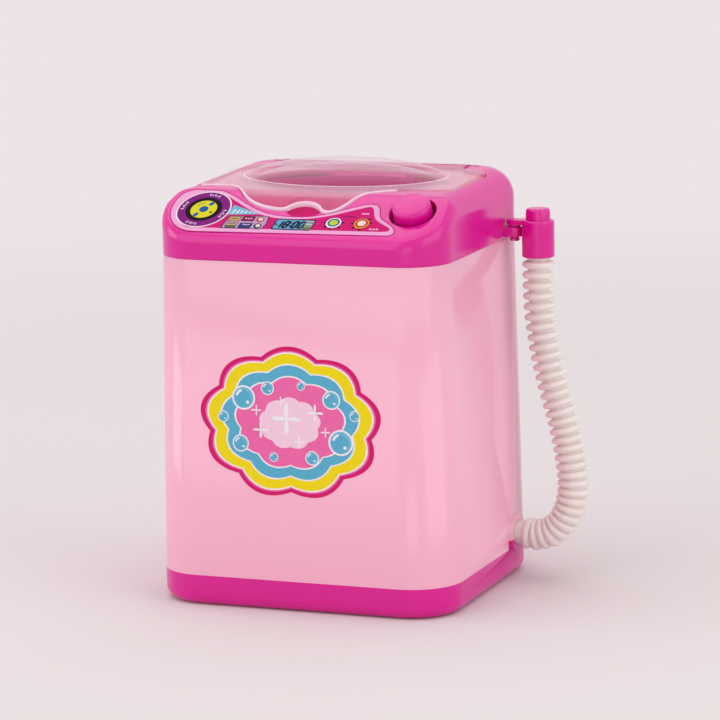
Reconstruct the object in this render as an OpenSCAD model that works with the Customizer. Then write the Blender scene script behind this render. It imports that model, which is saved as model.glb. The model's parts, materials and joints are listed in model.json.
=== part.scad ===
// Toy washing machine: a pressed-button, battery-driven mini washer with a swinging drain hose.
// Millimetres, +Z up, front faces -Y. The origin is the centre of the base's flat underside.

/* [Body] */
// Width of the body at its foot
body_w = 87.3; // [84:0.1:92]
// Depth of the body at its foot
body_d = 77.7; // [75:0.1:82]
// Corner radius of the body at its foot
body_r = 14; // [12:0.5:16]
// Height of the base tray's rim, where the body starts
base_h = 8.7; // [7:0.1:11]
// Rounding of the base tray's lower edge
base_edge_r = 3.5; // [2:0.1:4]
// Wall of the mouldings
wall = 1.8; // [1.4:0.1:2.2]
// Height of the seam between body and top cap
cap_z = 96.7; // [94:0.1:99]

/* [Top cap] */
// Width of the top cap
cap_w = 84; // [82:0.1:86]
// Depth of the top cap
cap_d = 75.3; // [73.5:0.1:77]
// Corner radius of the top cap
cap_r = 13; // [11:0.5:14]
// Height of the ridge at the front of the control panel
ridge_z = 103.5; // [102.5:0.1:105]
// Slope of the control panel, in degrees
panel_slope = 30; // [27:0.5:33]
// Length of the control panel up its slope
panel_len = 20.4; // [19.5:0.1:21.5]
// Rise of the top towards the hinge, in degrees
top_rise = 2.3; // [1:0.1:3]
// Rounding of the panel's outer edge
edge_r = 2.4; // [2:0.1:3.5]
// Rounding of the side edge at the fold
fold_edge_r = 6; // [4:0.1:7]
// Rounding of the side and back top edges
back_edge_r = 8; // [6:0.1:9]
// Thickness of the deck under the lid
deck = 3.2; // [2.8:0.1:4]

/* [Lid] */
// Half width of the clear lid
lid_hw = 37; // [35.5:0.1:38]
// Thickness of the lid
lid_t = 1.5; // [1.2:0.1:2]
// Depth of the recess that the lid lies in
recess = 1.3; // [1:0.1:1.6]
// Half width of the dome
dome_a = 30; // [28:0.5:32]
// Half depth of the dome
dome_b = 18.7; // [17:0.1:19.5]
// Rise of the dome above the lid
dome_h = 4.5; // [3.5:0.1:6.5]
// Radius of the hinge pins
lid_pin_r = 1; // [0.8:0.05:1.2]
// Distance of the hinge axis in from the back
hinge_in = 9.15; // [8.6:0.05:10]

/* [Button] */
// Radius of the button
button_r = 5.35; // [4.8:0.05:5.8]
// Radius of the button's well
well_r = 6.5; // [6.2:0.05:7.2]
// Height of the button above the panel
button_rise = 3; // [2.6:0.1:5]
// Travel of the button
button_travel = 2; // [1:0.1:2.2]
// Radius of the button's stem
stem_r = 2; // [1.6:0.1:2.4]

/* [Tub and drive] */
// Half width of the tub's inside
tub_a = 30.9; // [30:0.1:31.5]
// Half depth of the tub's inside
tub_b = 19.9; // [19:0.1:20.5]
// Height of the tub's inner floor
tub_floor_z = 62; // [61:0.5:66]
// Radius of the pulsator
pulsator_r = 14; // [12:0.5:16]
// Radius of the pulsator shaft
shaft_r = 1.5; // [1.2:0.1:1.8]
// Tooth size of the gear pair
gear_module = 1; // [0.9:0.02:1]
// Teeth of the driven gear
gear_teeth = 36; // [32:4:36]
// Teeth of the motor pinion
pinion_teeth = 12; // [10:1:14]
// Width of the gear teeth
gear_w = 3; // [2:0.5:4]

/* [Drain hose] */
// Outer radius of the hose ribs
rib_r = 4.5; // [4:0.1:4.7]
// Outer radius between the ribs
root_r = 2.95; // [2.7:0.05:3.1]
// Outer radius of the plain ends
neck_r = 3.45; // [3.1:0.05:3.7]
// Bore radius of the hose
hose_bore_r = 2.1; // [1.8:0.1:2.3]
// Number of ribs
hose_ribs = 34; // [20:1:38]
// Radius of the socket that holds the hose
socket_r = 4.55; // [4.4:0.05:5]
// Distance from the swing pin to the socket
arm_len = 6.9; // [6.9:0.1:8]
// Radius of the swing pin
swing_pin_r = 1.2; // [1:0.05:1.4]
// Height of the plug above the socket
plug_h = 3.5; // [2.5:0.1:5]
// Radius of the outlet boss
boss_r = 5.6; // [5.2:0.1:6]

/* [Cells] */
// Radius of an AA cell
cell_r = 7.1; // [6.9:0.05:7.25]
// Length of an AA cell's body
cell_len = 49.5; // [48:0.1:50]

/* [Hidden] */
$fn = 64;
// Clearances: a running fit, a fixed fit, and parts that lie side by side
run_gap = 0.05;
fit_gap = 0.02;
side_gap = 0.3;
flat_gap = 0.1;

// Screws: thread radius, head radius, head height and the plain hole round the thread
screw_r = 0.95;
pilot_r = 1;
screw_hole_r = 1.3;
head_r = 2;
head_h = 1.8;
head_hole_r = 2.6;
boss_wall_r = 3;

// Planes of the top: the panel climbs from the ridge to the fold, and the deck climbs from there
fold_y = -cap_d / 2 + panel_len * cos(panel_slope);
fold_z = ridge_z + panel_len * sin(panel_slope);
function top_z(y) = fold_z + (y - fold_y) * tan(top_rise);
function panel_z(y) = ridge_z + (y + cap_d / 2) * tan(panel_slope);
cap_cx = cap_w / 2 - cap_r;
cap_cy = cap_d / 2 - cap_r;

// Lid: where its top and its underside lie, measured down from the planes of the top
lid_under = recess - flat_gap;
lid_over = lid_under - lid_t;
dome_x = -0.8;
dome_wall = 1.2;
barrel_r = lid_pin_r + 0.5;
hinge_y = cap_d / 2 - hinge_in;
hinge_z = top_z(hinge_y) - 0.9;
tongue_hw = lid_hw - 8.8;
pin_len = 2;
ear_w = 3.5;
hinge_floor = 2.3;
lid_slack = 0.4;

// Button and switch, along the panel's normal
button_u = 31.2;
button_v = 13.5;
button_edge = 1.2;
button_ceiling = button_rise - 1;
well_depth = 4.6;
well_floor = 1.4;
skirt = 1.4;
switch_w = 7;
switch_h = 5;
switch_post_u = 5.4;
stem_end = well_depth + well_floor + 1.4;
switch_top = stem_end + button_travel + 0.4;
plunger_r = 1.2;

// Wash opening, its collar and the tub
wash_y = hinge_y - 21.5;
tub_wall = 1.5;
tub_top_z = 107;
collar_gap = 0.4;
collar_wall = 1.3;
collar_z = 105.5;
tub_ear_x = 31.3;
tub_ear_y = 12.6;
tub_ear_r = 4.6;
tub_ear_t = 2.2;
tub_under_z = tub_floor_z - 2;

// Drive: plate under the tub, gear pair between plate and tub, motor under the plate
plate_t = 2;
plate_z = tub_under_z - 13;
plate_top_z = plate_z + plate_t;
gear_z = plate_top_z + 1.6;
centre_d = gear_module * (gear_teeth + pinion_teeth) / 2;
motor_y = wash_y - centre_d;
motor_r = 10;
motor_flat = 7.6;
motor_len = 25;
motor_shaft_r = 1;
motor_boss_r = 3;
motor_z = plate_z - motor_len;
post_r = 2.8;
post_x_front = 20;
post_y_front = wash_y - 12;
post_x_rear = 14.5;
post_y_rear = wash_y + 17;
strap_t = 1.6;
strap_hd = 4;
strap_foot = 5.4;
seal_r = 4;
seal_t = 2.4;
bush_r = 3;

// Screw columns
base_screw_x = body_w / 2 - body_r + 4.85;
base_screw_y = body_d / 2 - body_r + 5.15;
base_seat_z = 3.5;
base_column_z = 6;
body_boss_z = 22;
base_screw_len = 12;
cap_screw_x = cap_w / 2 - cap_r + 4.5;
cap_screw_y = cap_d / 2 - cap_r + 3.35;
shelf_z = 91.5;
shelf_t = 3;
cap_screw_len = 9;

rim_h = 3;

// Battery bay
base_floor = 2.4;
bay_back = 1.75;
cell_pitch = 2 * cell_r + 0.4;
cell_z = 9.7;
cell_nub_r = 2.7;
cell_nub = 1.4;
spring_len = 3.1;
contact_t = 0.6;
bay_hl = (cell_len + cell_nub + spring_len) / 2 + contact_t + flat_gap;
bay_hd = cell_pitch / 2 + cell_r + side_gap;
bay_top = cell_z + cell_r + side_gap;
bay_wall = 1.5;
bay_y = body_d / 2 - wall - bay_back - bay_wall - bay_hd;
door_t = 2;
door_in = 0.3;
door_lip = 1.3;
door_tab_hd = 3.4;
door_screw_x = bay_hl + 5.4;

// Drain: outlet boss on the right wall, swing lug on the cap, and the hose between them
drain_y = 19.5;
drain_z = 12.7;
drain_tab_z = 11.3;
boss_out = 1;
body_draft = (body_w - cap_w) / 2 / (cap_z - base_h);
drain_wall_x = body_w / 2 - (drain_z - base_h) * body_draft;
boss_x = drain_wall_x + boss_out;
lug_r = 2.3;
lug_t = 2.9;
lug_z = 97.4;
swing_x = cap_w / 2 + lug_r + side_gap;
arm_t = 2;
arm_z = lug_z + lug_t + flat_gap;
socket_x = swing_x + arm_len;
socket_z = 92;
socket_top = arm_z + arm_t;
hose_top = socket_top - 4;
hose_sides = 8;
plug_r = neck_r;
plug_stem_r = hose_bore_r * cos(180 / hose_sides) - flat_gap;
drain_pipe_x = 35.5;
drain_pipe_r = 2.6;
drain_bend_r = 5;
pipe_cuff = 1.2;
nipple_r = 1.5;
nipple_z = tub_floor_z + 2.5;
hose_inner_x = drain_wall_x - wall - 0.9;

// Route of the hose from the socket down to the outlet, chosen by hand in the plane y = drain_y
hose_route = [
    [socket_x, hose_top], [socket_x, 90], [socket_x, 84], [socket_x + 0.4, 76], [socket_x + 1.8, 66],
    [socket_x + 4, 56], [socket_x + 6.8, 46], [socket_x + 8.8, 36], [socket_x + 9.6, 27],
    [socket_x + 8, 19.5], [socket_x + 4, 14.2], [socket_x - 1.5, 12.4], [boss_x + 2.2, drain_z],
    [hose_inner_x, drain_z]];
rings_per_span = 12;

pink = "#f5afc8";
magenta = "#d6329a";

// Smoothing and outlines
function bezier(a, b, c, d, n) = [for (i = [0 : n]) let (t = i / n, s = 1 - t)
    a * s * s * s + b * 3 * s * s * t + c * 3 * s * t * t + d * t * t * t];
function ellipse_points(a, b, n = 48) = [for (i = [0 : n - 1]) [a * cos(360 * i / n), b * sin(360 * i / n)]];

// Front outline of the lid, left to right: shoulder, wave down to the lip, finger notch, wave up, shoulder.
// Its places are x and the distance behind the fold; the rear ones lie in front of the hinge.
wave_left = bezier([-27.7, 6.8], [-21, 5.4], [-23.5, -5.5], [-7, -6.9], 14);
wave_notch = bezier([-5.4, -6.6], [-3, -3.3], [2.6, -3], [5.2, -7], 8);
wave_right = bezier([7.2, -7.5], [13, -6.5], [14.5, 6.2], [25, 7.7], 14);
lid_front = concat([[-lid_hw, 6]], wave_left, wave_notch, wave_right, [[lid_hw, 9.4]]);
lid_rear = [[lid_hw, -11.9], [lid_hw - 0.7, -10.1], [lid_hw - 2.6, -8.5], [tongue_hw, -5.7], [tongue_hw, 0]];
lid_outline = concat([for (p = lid_front) p + [0, fold_y]], [for (p = lid_rear) p + [0, hinge_y]],
    [for (i = [len(lid_rear) - 1 : -1 : 0]) [-lid_rear[i][0], lid_rear[i][1] + hinge_y]]);

// The badge on the front wall: its middle, half sizes, lobes and how deep they bite
badge_x = -0.8;
badge_z = 52.9;
badge_a = 26.7;
badge_b = 21.2;
badge_lobes = 9;
badge_t = 0.2;
badge_bite = 0.1;

// Outline of the control panel's printed film, along the panel and up its slope
dial_u = -29.2;
film_left_r = 9.3;
film_left_v = 10.9;
film_t = 0.25;
film_slack = 0.1;
film_proud = 0.04;
film_outline = concat(
    [for (a = [270 : -15 : 60]) [dial_u + film_left_r * cos(a), film_left_v + film_left_r * sin(a)]],
    bezier([-23, 18], [-17.5, 14.5], [-14, 9.8], [-3, 9.2], 10),
    bezier([-1, 9.2], [7, 9.2], [10, 14], [16.4, 15.9], 8),
    bezier([18.4, 16], [22.6, 15.5], [18, 9], [28.4, 5.6], 8),
    [[29.6, 4.6], [29.6, 3.4], [28.4, 2.5]]);

module flat_rounded(w, d, r) {
    square([w - 2 * r, d], center = true);
    square([w, d - 2 * r], center = true);
    for (x = [-1, 1], y = [-1, 1])
        translate([x * (w / 2 - r), y * (d / 2 - r)])
            circle(r = r);
}

module on_corners(x, y) {
    for (sx = [-1, 1], sy = [-1, 1])
        translate([sx * x, sy * y, 0])
            children();
}

// Places a child on the control panel: u to the right, v up the slope, local +Z out of the panel
module on_panel(u, v) {
    translate([u, -cap_d / 2 + v * cos(panel_slope), ridge_z + v * sin(panel_slope)])
        rotate([panel_slope, 0, 0])
            children();
}

// Places a child on the deck at one depth, local +Z square to the deck
module on_deck(x, y) {
    translate([x, y, top_z(y)])
        rotate([top_rise, 0, 0])
            children();
}

// A pan-head screw whose seat is at z = 0 and whose thread points up
module screw(length, hr = head_r, hh = head_h) {
    cylinder(r = screw_r, h = length);
    difference() {
        translate([0, 0, -hh])
            cylinder(r = hr, h = hh);
        for (a = [0, 90])
            rotate([0, 0, a])
                translate([-hr * 0.6, -0.25, -hh - 0.1])
                    cube([hr * 1.2, 0.5, 0.8]);
    }
}

module tube(outer, inner, h) {
    difference() {
        cylinder(r = outer, h = h);
        translate([0, 0, -0.1])
            cylinder(r = inner, h = h + 0.2);
    }
}

// Outer form of the cap, or its inner form when set in from the side and from above
module cap_form(side, above, below) {
    ri = max(edge_r - side, 0.8);
    rf = max(fold_edge_r - side, 1);
    rb = max(back_edge_r - side, 1);
    hull() {
        on_corners(cap_cx, cap_cy)
            translate([0, 0, cap_z - below])
                cylinder(r = cap_r - side, h = below + 1, $fn = 48);
        for (sx = [-1, 1]) {
            translate([sx * cap_cx, cap_cy, top_z(cap_cy) + 0.1 - above - rb])
                rotate_extrude($fn = 40)
                    intersection() {
                        translate([cap_r - side - rb, 0])
                            circle(r = rb, $fn = 32);
                        translate([0, -rb])
                            square([cap_r, 2 * rb]);
                    }
            for (a = [0 : 15 : 90]) {
                y = -cap_cy - (cap_r - side - ri) * sin(a);
                translate([sx * (cap_cx + (cap_r - side - ri) * cos(a)), y,
                        panel_z(y) - (above + ri) / cos(panel_slope)])
                    sphere(r = ri, $fn = 24);
            }
            translate([sx * (cap_w / 2 - side - rf), fold_y, fold_z - above - rf])
                sphere(r = rf, $fn = 32);
        }
    }
}

// Everything above the top surface once it is lowered square to itself by depth
module above_top(depth) {
    front = -cap_d / 2 - 8;
    back = cap_d / 2 + 8;
    mid = depth * tan((panel_slope - top_rise) / 2);
    translate([-cap_w, 0, 0])
        rotate([90, 0, 90])
            linear_extrude(2 * cap_w)
                polygon([[front, panel_z(front) - depth / cos(panel_slope)],
                    [fold_y + sin(top_rise) * depth + mid, fold_z - depth * cos(top_rise) - mid * tan(top_rise)],
                    [back, top_z(back) - depth / cos(top_rise)], [back, 140], [front, 140]]);
}

module body_form(inset) {
    hull() {
        translate([0, 0, base_h])
            linear_extrude(0.01)
                flat_rounded(body_w - 2 * inset, body_d - 2 * inset, body_r - inset);
        translate([0, 0, cap_z - 0.01])
            linear_extrude(0.01)
                flat_rounded(cap_w - 2 * inset, cap_d - 2 * inset, cap_r - inset);
    }
}

module outlet_boss(r, from, to) {
    translate([from, drain_y, drain_z])
        rotate([0, 90, 0])
            cylinder(r = r, h = to - from);
}

// The part of the outlet boss that the base tray carries
module drain_tab(grow) {
    translate([hose_inner_x - 2, drain_y - boss_r - grow, drain_z - boss_r - 0.5])
        cube([10, 2 * (boss_r + grow), drain_tab_z + grow - drain_z + boss_r + 0.5]);
}

module base_tray() {
    color(magenta)
        difference() {
            union() {
                difference() {
                    hull() {
                        on_corners(body_w / 2 - body_r, body_d / 2 - body_r)
                            translate([0, 0, base_edge_r])
                                rotate_extrude($fn = 48)
                                    translate([body_r - base_edge_r, 0])
                                        circle(r = base_edge_r, $fn = 24);
                        translate([0, 0, base_h - 0.01])
                            linear_extrude(0.01)
                                flat_rounded(body_w, body_d, body_r);
                    }
                    translate([0, 0, base_floor])
                        linear_extrude(base_h)
                            flat_rounded(body_w - 2 * wall, body_d - 2 * wall, body_r - wall);
                }
                translate([-bay_hl - bay_wall, bay_y - bay_hd - bay_wall, 1])
                    cube([2 * (bay_hl + bay_wall), 2 * (bay_hd + bay_wall), bay_top + bay_wall - 1]);
                translate([0, bay_y - door_tab_hd - bay_wall, 1])
                    cube([door_screw_x + door_tab_hd + bay_wall, 2 * (door_tab_hd + bay_wall), base_floor + 0.8]);
                translate([door_screw_x, bay_y, 1])
                    cylinder(r = boss_wall_r, h = 7.6);
                on_corners(base_screw_x, base_screw_y)
                    translate([0, 0, 1])
                        cylinder(r = head_hole_r + 1, h = base_column_z - 1);
                // Half of the outlet boss, on a tab that fills the notch in the body's edge
                intersection() {
                    drain_tab(0);
                    union() {
                        outlet_boss(boss_r, drain_wall_x - wall, boss_x);
                        translate([body_w / 2 - wall, drain_y - boss_r, 0])
                            cube([wall - 0.05, 2 * boss_r, 20]);
                    }
                }
            }
            translate([-bay_hl, bay_y - bay_hd, -1])
                cube([2 * bay_hl, 2 * bay_hd, bay_top + 1]);
            door_shape(-1, door_in + door_t + 0.05, flat_gap);
            translate([door_screw_x, bay_y, 1])
                cylinder(r = pilot_r, h = 6.6);
            on_corners(base_screw_x, base_screw_y) {
                translate([0, 0, -1])
                    cylinder(r = head_hole_r, h = base_seat_z + 1);
                cylinder(r = screw_hole_r, h = base_column_z + 1);
            }
            // Slots where the contacts' tags leave the bay
            for (sy = [-1, 1])
                translate([bay_hl - 0.5, bay_y + sy * cell_pitch / 2 - 1.7, cell_z + 2])
                    cube([bay_wall + 1, 3.4, 1.2]);
            outlet_boss(neck_r + 0.1, hose_inner_x - 3, boss_x + 1);
        }
}

// Ring inside the top of the body; grow sets how far it stays from the cap's inner wall
module rim(grow, h) {
    linear_extrude(h)
        difference() {
            flat_rounded(cap_w - 2 * (wall + grow), cap_d - 2 * (wall + grow), cap_r - wall);
            flat_rounded(cap_w - 4 * wall, cap_d - 4 * wall, cap_r - 2 * wall);
        }
}

module body_shell() {
    color(pink)
        difference() {
            union() {
                difference() {
                    body_form(0);
                    translate([0, 0, -0.02])
                        body_form(wall);
                    translate([0, 0, 0.02])
                        body_form(wall);
                }
                // Locating rim that stands up inside the cap, on a thickened top edge
                translate([0, 0, cap_z - rim_h])
                    rim(side_gap / 2, 2 * rim_h);
                intersection() {
                    body_form(wall / 2);
                    translate([0, 0, cap_z - rim_h])
                        rim(-wall, rim_h);
                }
                intersection() {
                    body_form(wall / 2);
                    union() {
                        on_corners(cap_screw_x, cap_screw_y)
                            translate([0, 0, shelf_z])
                                cylinder(r = 7, h = shelf_t);
                        on_corners(base_screw_x, base_screw_y)
                            translate([0, 0, base_h])
                                cylinder(r = boss_wall_r, h = body_boss_z - base_h);
                        // A rib ties each boss to its corner
                        for (sx = [-1, 1], sy = [-1, 1])
                            translate([sx * base_screw_x, sy * base_screw_y, base_h + 0.3])
                                rotate([0, 0, atan2(sy, sx)])
                                    translate([boss_wall_r - 0.6, -0.8, 0])
                                        cube([8, 1.6, body_boss_z - base_h - 3]);
                    }
                }
                on_corners(base_screw_x, base_screw_y)
                    translate([0, 0, base_column_z])
                        cylinder(r = boss_wall_r, h = 4);
                outlet_boss(boss_r, drain_wall_x - wall / 2, boss_x);
            }
            drain_tab(0.05);
            outlet_boss(neck_r + 0.1, hose_inner_x - 3, boss_x + 1);
            on_corners(cap_screw_x, cap_screw_y)
                translate([0, 0, shelf_z - 1])
                    cylinder(r = screw_hole_r, h = shelf_t + 2);
            on_corners(base_screw_x, base_screw_y)
                translate([0, 0, base_column_z - 1])
                    cylinder(r = pilot_r, h = base_screw_len);
        }
}

// Ring or plug of the wash opening's outline
module wash_prism(grow, from, to) {
    translate([0, wash_y, from])
        linear_extrude(to - from)
            polygon(ellipse_points(tub_a + grow, tub_b + grow));
}

module top_cap() {
    collar_out = -collar_gap;
    color(magenta)
        difference() {
            union() {
                difference() {
                    cap_form(0, 0, 0);
                    cap_form(wall, deck, 3);
                }
                // Bosses, cups and ears are cut to the cap's outer form
                intersection() {
                    cap_form(wall / 2, recess + 0.6, 4);
                    union() {
                        on_corners(cap_screw_x, cap_screw_y)
                            translate([0, 0, shelf_z + shelf_t])
                                cylinder(r = boss_wall_r, h = 20);
                        tub_ears()
                            translate([0, 0, tub_top_z])
                                cylinder(r = boss_wall_r, h = 12);
                        wash_prism(collar_out, collar_z, 120);
                        on_panel(button_u, button_v)
                            translate([0, 0, -well_depth - well_floor])
                                cylinder(r = well_r + 1.4, h = 20);
                        translate([-tongue_hw - ear_w, hinge_y - 5, hinge_z - hinge_floor - 1.4])
                            cube([2 * (tongue_hw + ear_w), 8.5, 20]);
                    }
                }
                switch_posts();
                // Lug for the hose arm's swing pin
                translate([swing_x, drain_y, lug_z])
                    cylinder(r = lug_r, h = lug_t);
                translate([cap_w / 2 - wall / 2, drain_y - lug_r, lug_z])
                    cube([swing_x - cap_w / 2 + wall / 2, 2 * lug_r, lug_t]);
            }
            // Recess that the lid lies in, the wash opening and the finger well
            intersection() {
                above_top(recess);
                linear_extrude(140)
                    offset(delta = lid_slack)
                        polygon(lid_outline);
            }
            wash_prism(collar_out - collar_wall, collar_z - 1, 140);
            on_panel(0, 16)
                translate([0, 0, -2.2])
                    cylinder(r = 6.4, h = 6);
            // Hinge trough with a pin hole in each end
            translate([-tongue_hw - side_gap, hinge_y - 4.6, hinge_z - hinge_floor])
                cube([2 * (tongue_hw + side_gap), 4.6 + barrel_r + side_gap, 20]);
            translate([-tongue_hw - pin_len - 0.6, hinge_y, hinge_z])
                rotate([0, 90, 0])
                    cylinder(r = lid_pin_r + run_gap, h = 2 * (tongue_hw + pin_len + 0.6));
            on_panel(button_u, button_v) {
                translate([0, 0, -well_depth])
                    cylinder(r = well_r, h = 20);
                translate([0, 0, -well_depth - well_floor - 1])
                    cylinder(r = stem_r + 0.1, h = 10);
            }
            panel_film(film_t, 4, film_slack);
            on_corners(cap_screw_x, cap_screw_y)
                translate([0, 0, shelf_z + shelf_t - 1])
                    cylinder(r = pilot_r, h = cap_screw_len - shelf_t + 1.6);
            tub_ears()
                translate([0, 0, tub_top_z - 1])
                    cylinder(r = pilot_r, h = 5);
            translate([swing_x, drain_y, lug_z - 1])
                cylinder(r = swing_pin_r + run_gap, h = lug_t + 2);
        }
}

module tub_ears() {
    for (sx = [-1, 1], sy = [-1, 1])
        translate([sx * tub_ear_x, wash_y + sy * tub_ear_y, 0])
            children();
}

// Two posts under the button's well carry the switch
module switch_posts() {
    on_panel(button_u, button_v)
        for (s = [-1, 1])
            translate([s * switch_post_u, 0, -switch_top])
                difference() {
                    cylinder(r = 1.7, h = switch_top - well_depth - 0.5);
                    translate([0, 0, -1])
                        cylinder(r = pilot_r, h = 4);
                }
}

module lid() {
    color("#f3d3e4", 0.45)
        difference() {
            union() {
                difference() {
                    linear_extrude(140)
                        polygon(lid_outline);
                    above_top(lid_over);
                    difference() {
                        translate([-cap_w, -cap_d, 60])
                            cube([2 * cap_w, 2 * cap_d, 80]);
                        above_top(lid_under);
                    }
                    translate([-cap_w, -cap_d, -1])
                        cube([2 * cap_w, 2 * cap_d, 62]);
                }
                on_deck(dome_x, wash_y)
                    translate([0, 0, -lid_under])
                        intersection() {
                            scale([dome_a, dome_b, dome_h + lid_t])
                                sphere(r = 1, $fn = 48);
                            translate([-cap_w / 2, -cap_d / 2, 0])
                                cube([cap_w, cap_d, 20]);
                        }
                translate([-tongue_hw, hinge_y, hinge_z])
                    rotate([0, 90, 0])
                        cylinder(r = barrel_r, h = 2 * tongue_hw);
                translate([-tongue_hw - pin_len, hinge_y, hinge_z])
                    rotate([0, 90, 0])
                        cylinder(r = lid_pin_r, h = 2 * (tongue_hw + pin_len));
            }
            on_deck(dome_x, wash_y)
                translate([0, 0, -lid_under])
                    scale([dome_a - dome_wall, dome_b - dome_wall, dome_h + lid_t - dome_wall])
                        sphere(r = 1, $fn = 48);
        }
}

module start_button() {
    color(magenta)
        on_panel(button_u, button_v)
            difference() {
                union() {
                    translate([0, 0, -skirt])
                        cylinder(r = button_r, h = skirt + button_rise - button_edge);
                    translate([0, 0, button_rise - button_edge])
                        rotate_extrude() {
                            square([button_r - button_edge, button_edge]);
                            intersection() {
                                translate([button_r - button_edge, 0])
                                    circle(r = button_edge);
                                square([button_r, button_edge]);
                            }
                        }
                    translate([0, 0, -stem_end])
                        cylinder(r = stem_r, h = stem_end);
                }
                translate([0, 0, -skirt - 1])
                    tube(button_r - button_edge, stem_r, skirt + 1 + button_ceiling);
            }
}

module button_spring() {
    color("silver")
        on_panel(button_u, button_v)
            translate([0, 0, -well_depth + 0.02])
                tube(stem_r + 1.5, stem_r + 0.4, well_depth + button_ceiling - flat_gap);
}

module switch_body() {
    color("#303034")
        on_panel(button_u, button_v)
            difference() {
                union() {
                    translate([-switch_w / 2, -switch_w / 2, -switch_top - switch_h])
                        cube([switch_w, switch_w, switch_h - 0.02]);
                    translate([-switch_post_u - 2, -1.8, -switch_top - 1.2])
                        cube([2 * (switch_post_u + 2), 3.6, 1.18]);
                    for (u = [-2, 0, 2])
                        translate([u - 0.4, -0.2, -switch_top - switch_h - 2])
                            cube([0.8, 0.4, 2.5]);
                }
                translate([0, 0, -switch_top - 3.4])
                    cylinder(r = plunger_r + run_gap, h = 6);
                for (s = [-1, 1])
                    translate([s * switch_post_u, 0, -switch_top - 3])
                        cylinder(r = pilot_r + 0.1, h = 6);
            }
}

module switch_plunger() {
    color("white")
        on_panel(button_u, button_v)
            translate([0, 0, -switch_top - 1])
                cylinder(r = plunger_r, h = switch_top + 1 - stem_end - 0.01);
}

module switch_screws() {
    color("silver")
        on_panel(button_u, button_v)
            for (s = [-1, 1])
                translate([s * switch_post_u, 0, -switch_top - 1.22])
                    screw(3.6, 1.6, 1);
}

module wash_tub() {
    color(magenta)
        difference() {
            union() {
                wash_prism(tub_wall, tub_under_z, tub_top_z);
                tub_ears()
                    translate([0, 0, tub_top_z - tub_ear_t])
                        cylinder(r = tub_ear_r, h = tub_ear_t);
                for (sx = [-1, 1]) {
                    translate([sx * post_x_front, post_y_front, plate_top_z])
                        cylinder(r = post_r, h = tub_under_z - plate_top_z + 1);
                    translate([sx * post_x_rear, post_y_rear, plate_top_z])
                        cylinder(r = post_r, h = tub_under_z - plate_top_z + 1);
                }
                translate([0, wash_y, tub_under_z - 3.4])
                    cylinder(r = seal_r + 1.4, h = 4);
                // Drain nipple in the right-hand wall
                translate([tub_a * 0.6, drain_y, nipple_z])
                    rotate([0, 90, 0])
                        cylinder(r = nipple_r + 0.8, h = drain_pipe_x - drain_bend_r - tub_a * 0.6 - 0.2);
            }
            wash_prism(0, tub_floor_z, tub_top_z + 1);
            translate([0, wash_y, 0])
                cylinder(r = shaft_r + run_gap, h = tub_floor_z + 1);
            translate([0, wash_y, tub_under_z - 4])
                cylinder(r = seal_r, h = 4 - 0.6);
            tub_ears()
                translate([0, 0, tub_top_z - tub_ear_t - 1])
                    cylinder(r = screw_hole_r, h = tub_ear_t + 2);
            for (sx = [-1, 1]) {
                translate([sx * post_x_front, post_y_front, plate_top_z - 1])
                    cylinder(r = pilot_r, h = 10);
                translate([sx * post_x_rear, post_y_rear, plate_top_z - 1])
                    cylinder(r = pilot_r, h = 10);
            }
            translate([tub_a * 0.5, drain_y, nipple_z])
                rotate([0, 90, 0])
                    cylinder(r = nipple_r, h = 40);
        }
}

module pulsator() {
    hub_r = 4;
    hub_h = 6;
    disc_t = 1.6;
    color(pink)
        translate([0, wash_y, tub_floor_z + 0.4])
            difference() {
                union() {
                    cylinder(r = pulsator_r, h = disc_t);
                    cylinder(r = hub_r, h = hub_h);
                    for (a = [0 : 90 : 270])
                        rotate([0, 0, a])
                            translate([hub_r - 1, -0.9, disc_t - 0.5])
                                cube([pulsator_r - hub_r - 0.6, 1.8, 3]);
                }
                translate([0, 0, -1])
                    cylinder(r = shaft_r + fit_gap, h = hub_h - 0.8);
            }
}

module pulsator_shaft() {
    color("silver")
        translate([0, wash_y, plate_z - 0.4])
            cylinder(r = shaft_r, h = tub_floor_z + 5 - plate_z);
}

module shaft_seal() {
    color("#252528")
        translate([0, wash_y, tub_under_z - 3])
            tube(seal_r - fit_gap, shaft_r + run_gap, seal_t);
}

module shaft_bush() {
    color("#c9a24a")
        translate([0, wash_y, 0]) {
            translate([0, 0, plate_z + 0.02])
                tube(bush_r, shaft_r + run_gap, plate_t + 0.5);
            translate([0, 0, plate_top_z + 0.02])
                tube(bush_r + 1, shaft_r + run_gap, 0.9);
        }
}

// A straight-toothed wheel: each tooth narrows from root to tip, with play at the pitch circle
module toothed_wheel(teeth, w, bore) {
    pitch_r = gear_module * teeth / 2;
    root = pitch_r - 1.2 * gear_module;
    tip = pitch_r + 0.9 * gear_module;
    step = 360 / teeth;
    difference() {
        linear_extrude(w)
            polygon([for (i = [0 : teeth - 1]) for (p = [[root, -0.36], [pitch_r, -0.21], [tip, -0.09],
                [tip, 0.09], [pitch_r, 0.21], [root, 0.36]])
                [p[0] * cos((i + p[1]) * step), p[0] * sin((i + p[1]) * step)]]);
        translate([0, 0, -1])
            cylinder(r = bore, h = w + 2);
    }
}

module drive_gear() {
    color("ivory")
        translate([0, wash_y, gear_z]) {
            rotate([0, 0, -90 + 180 / gear_teeth])
                toothed_wheel(gear_teeth, gear_w, shaft_r + fit_gap);
            translate([0, 0, gear_w])
                tube(4, shaft_r + fit_gap, 2);
        }
}

module motor_pinion() {
    color("#c9a24a")
        translate([0, motor_y, gear_z - 0.4])
            rotate([0, 0, 90])
                toothed_wheel(pinion_teeth, gear_w + 0.8, motor_shaft_r + fit_gap);
}

module motor_shaft() {
    color("silver")
        translate([0, motor_y, plate_z - 3])
            cylinder(r = motor_shaft_r, h = gear_z + gear_w - plate_z + 4);
}

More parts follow.
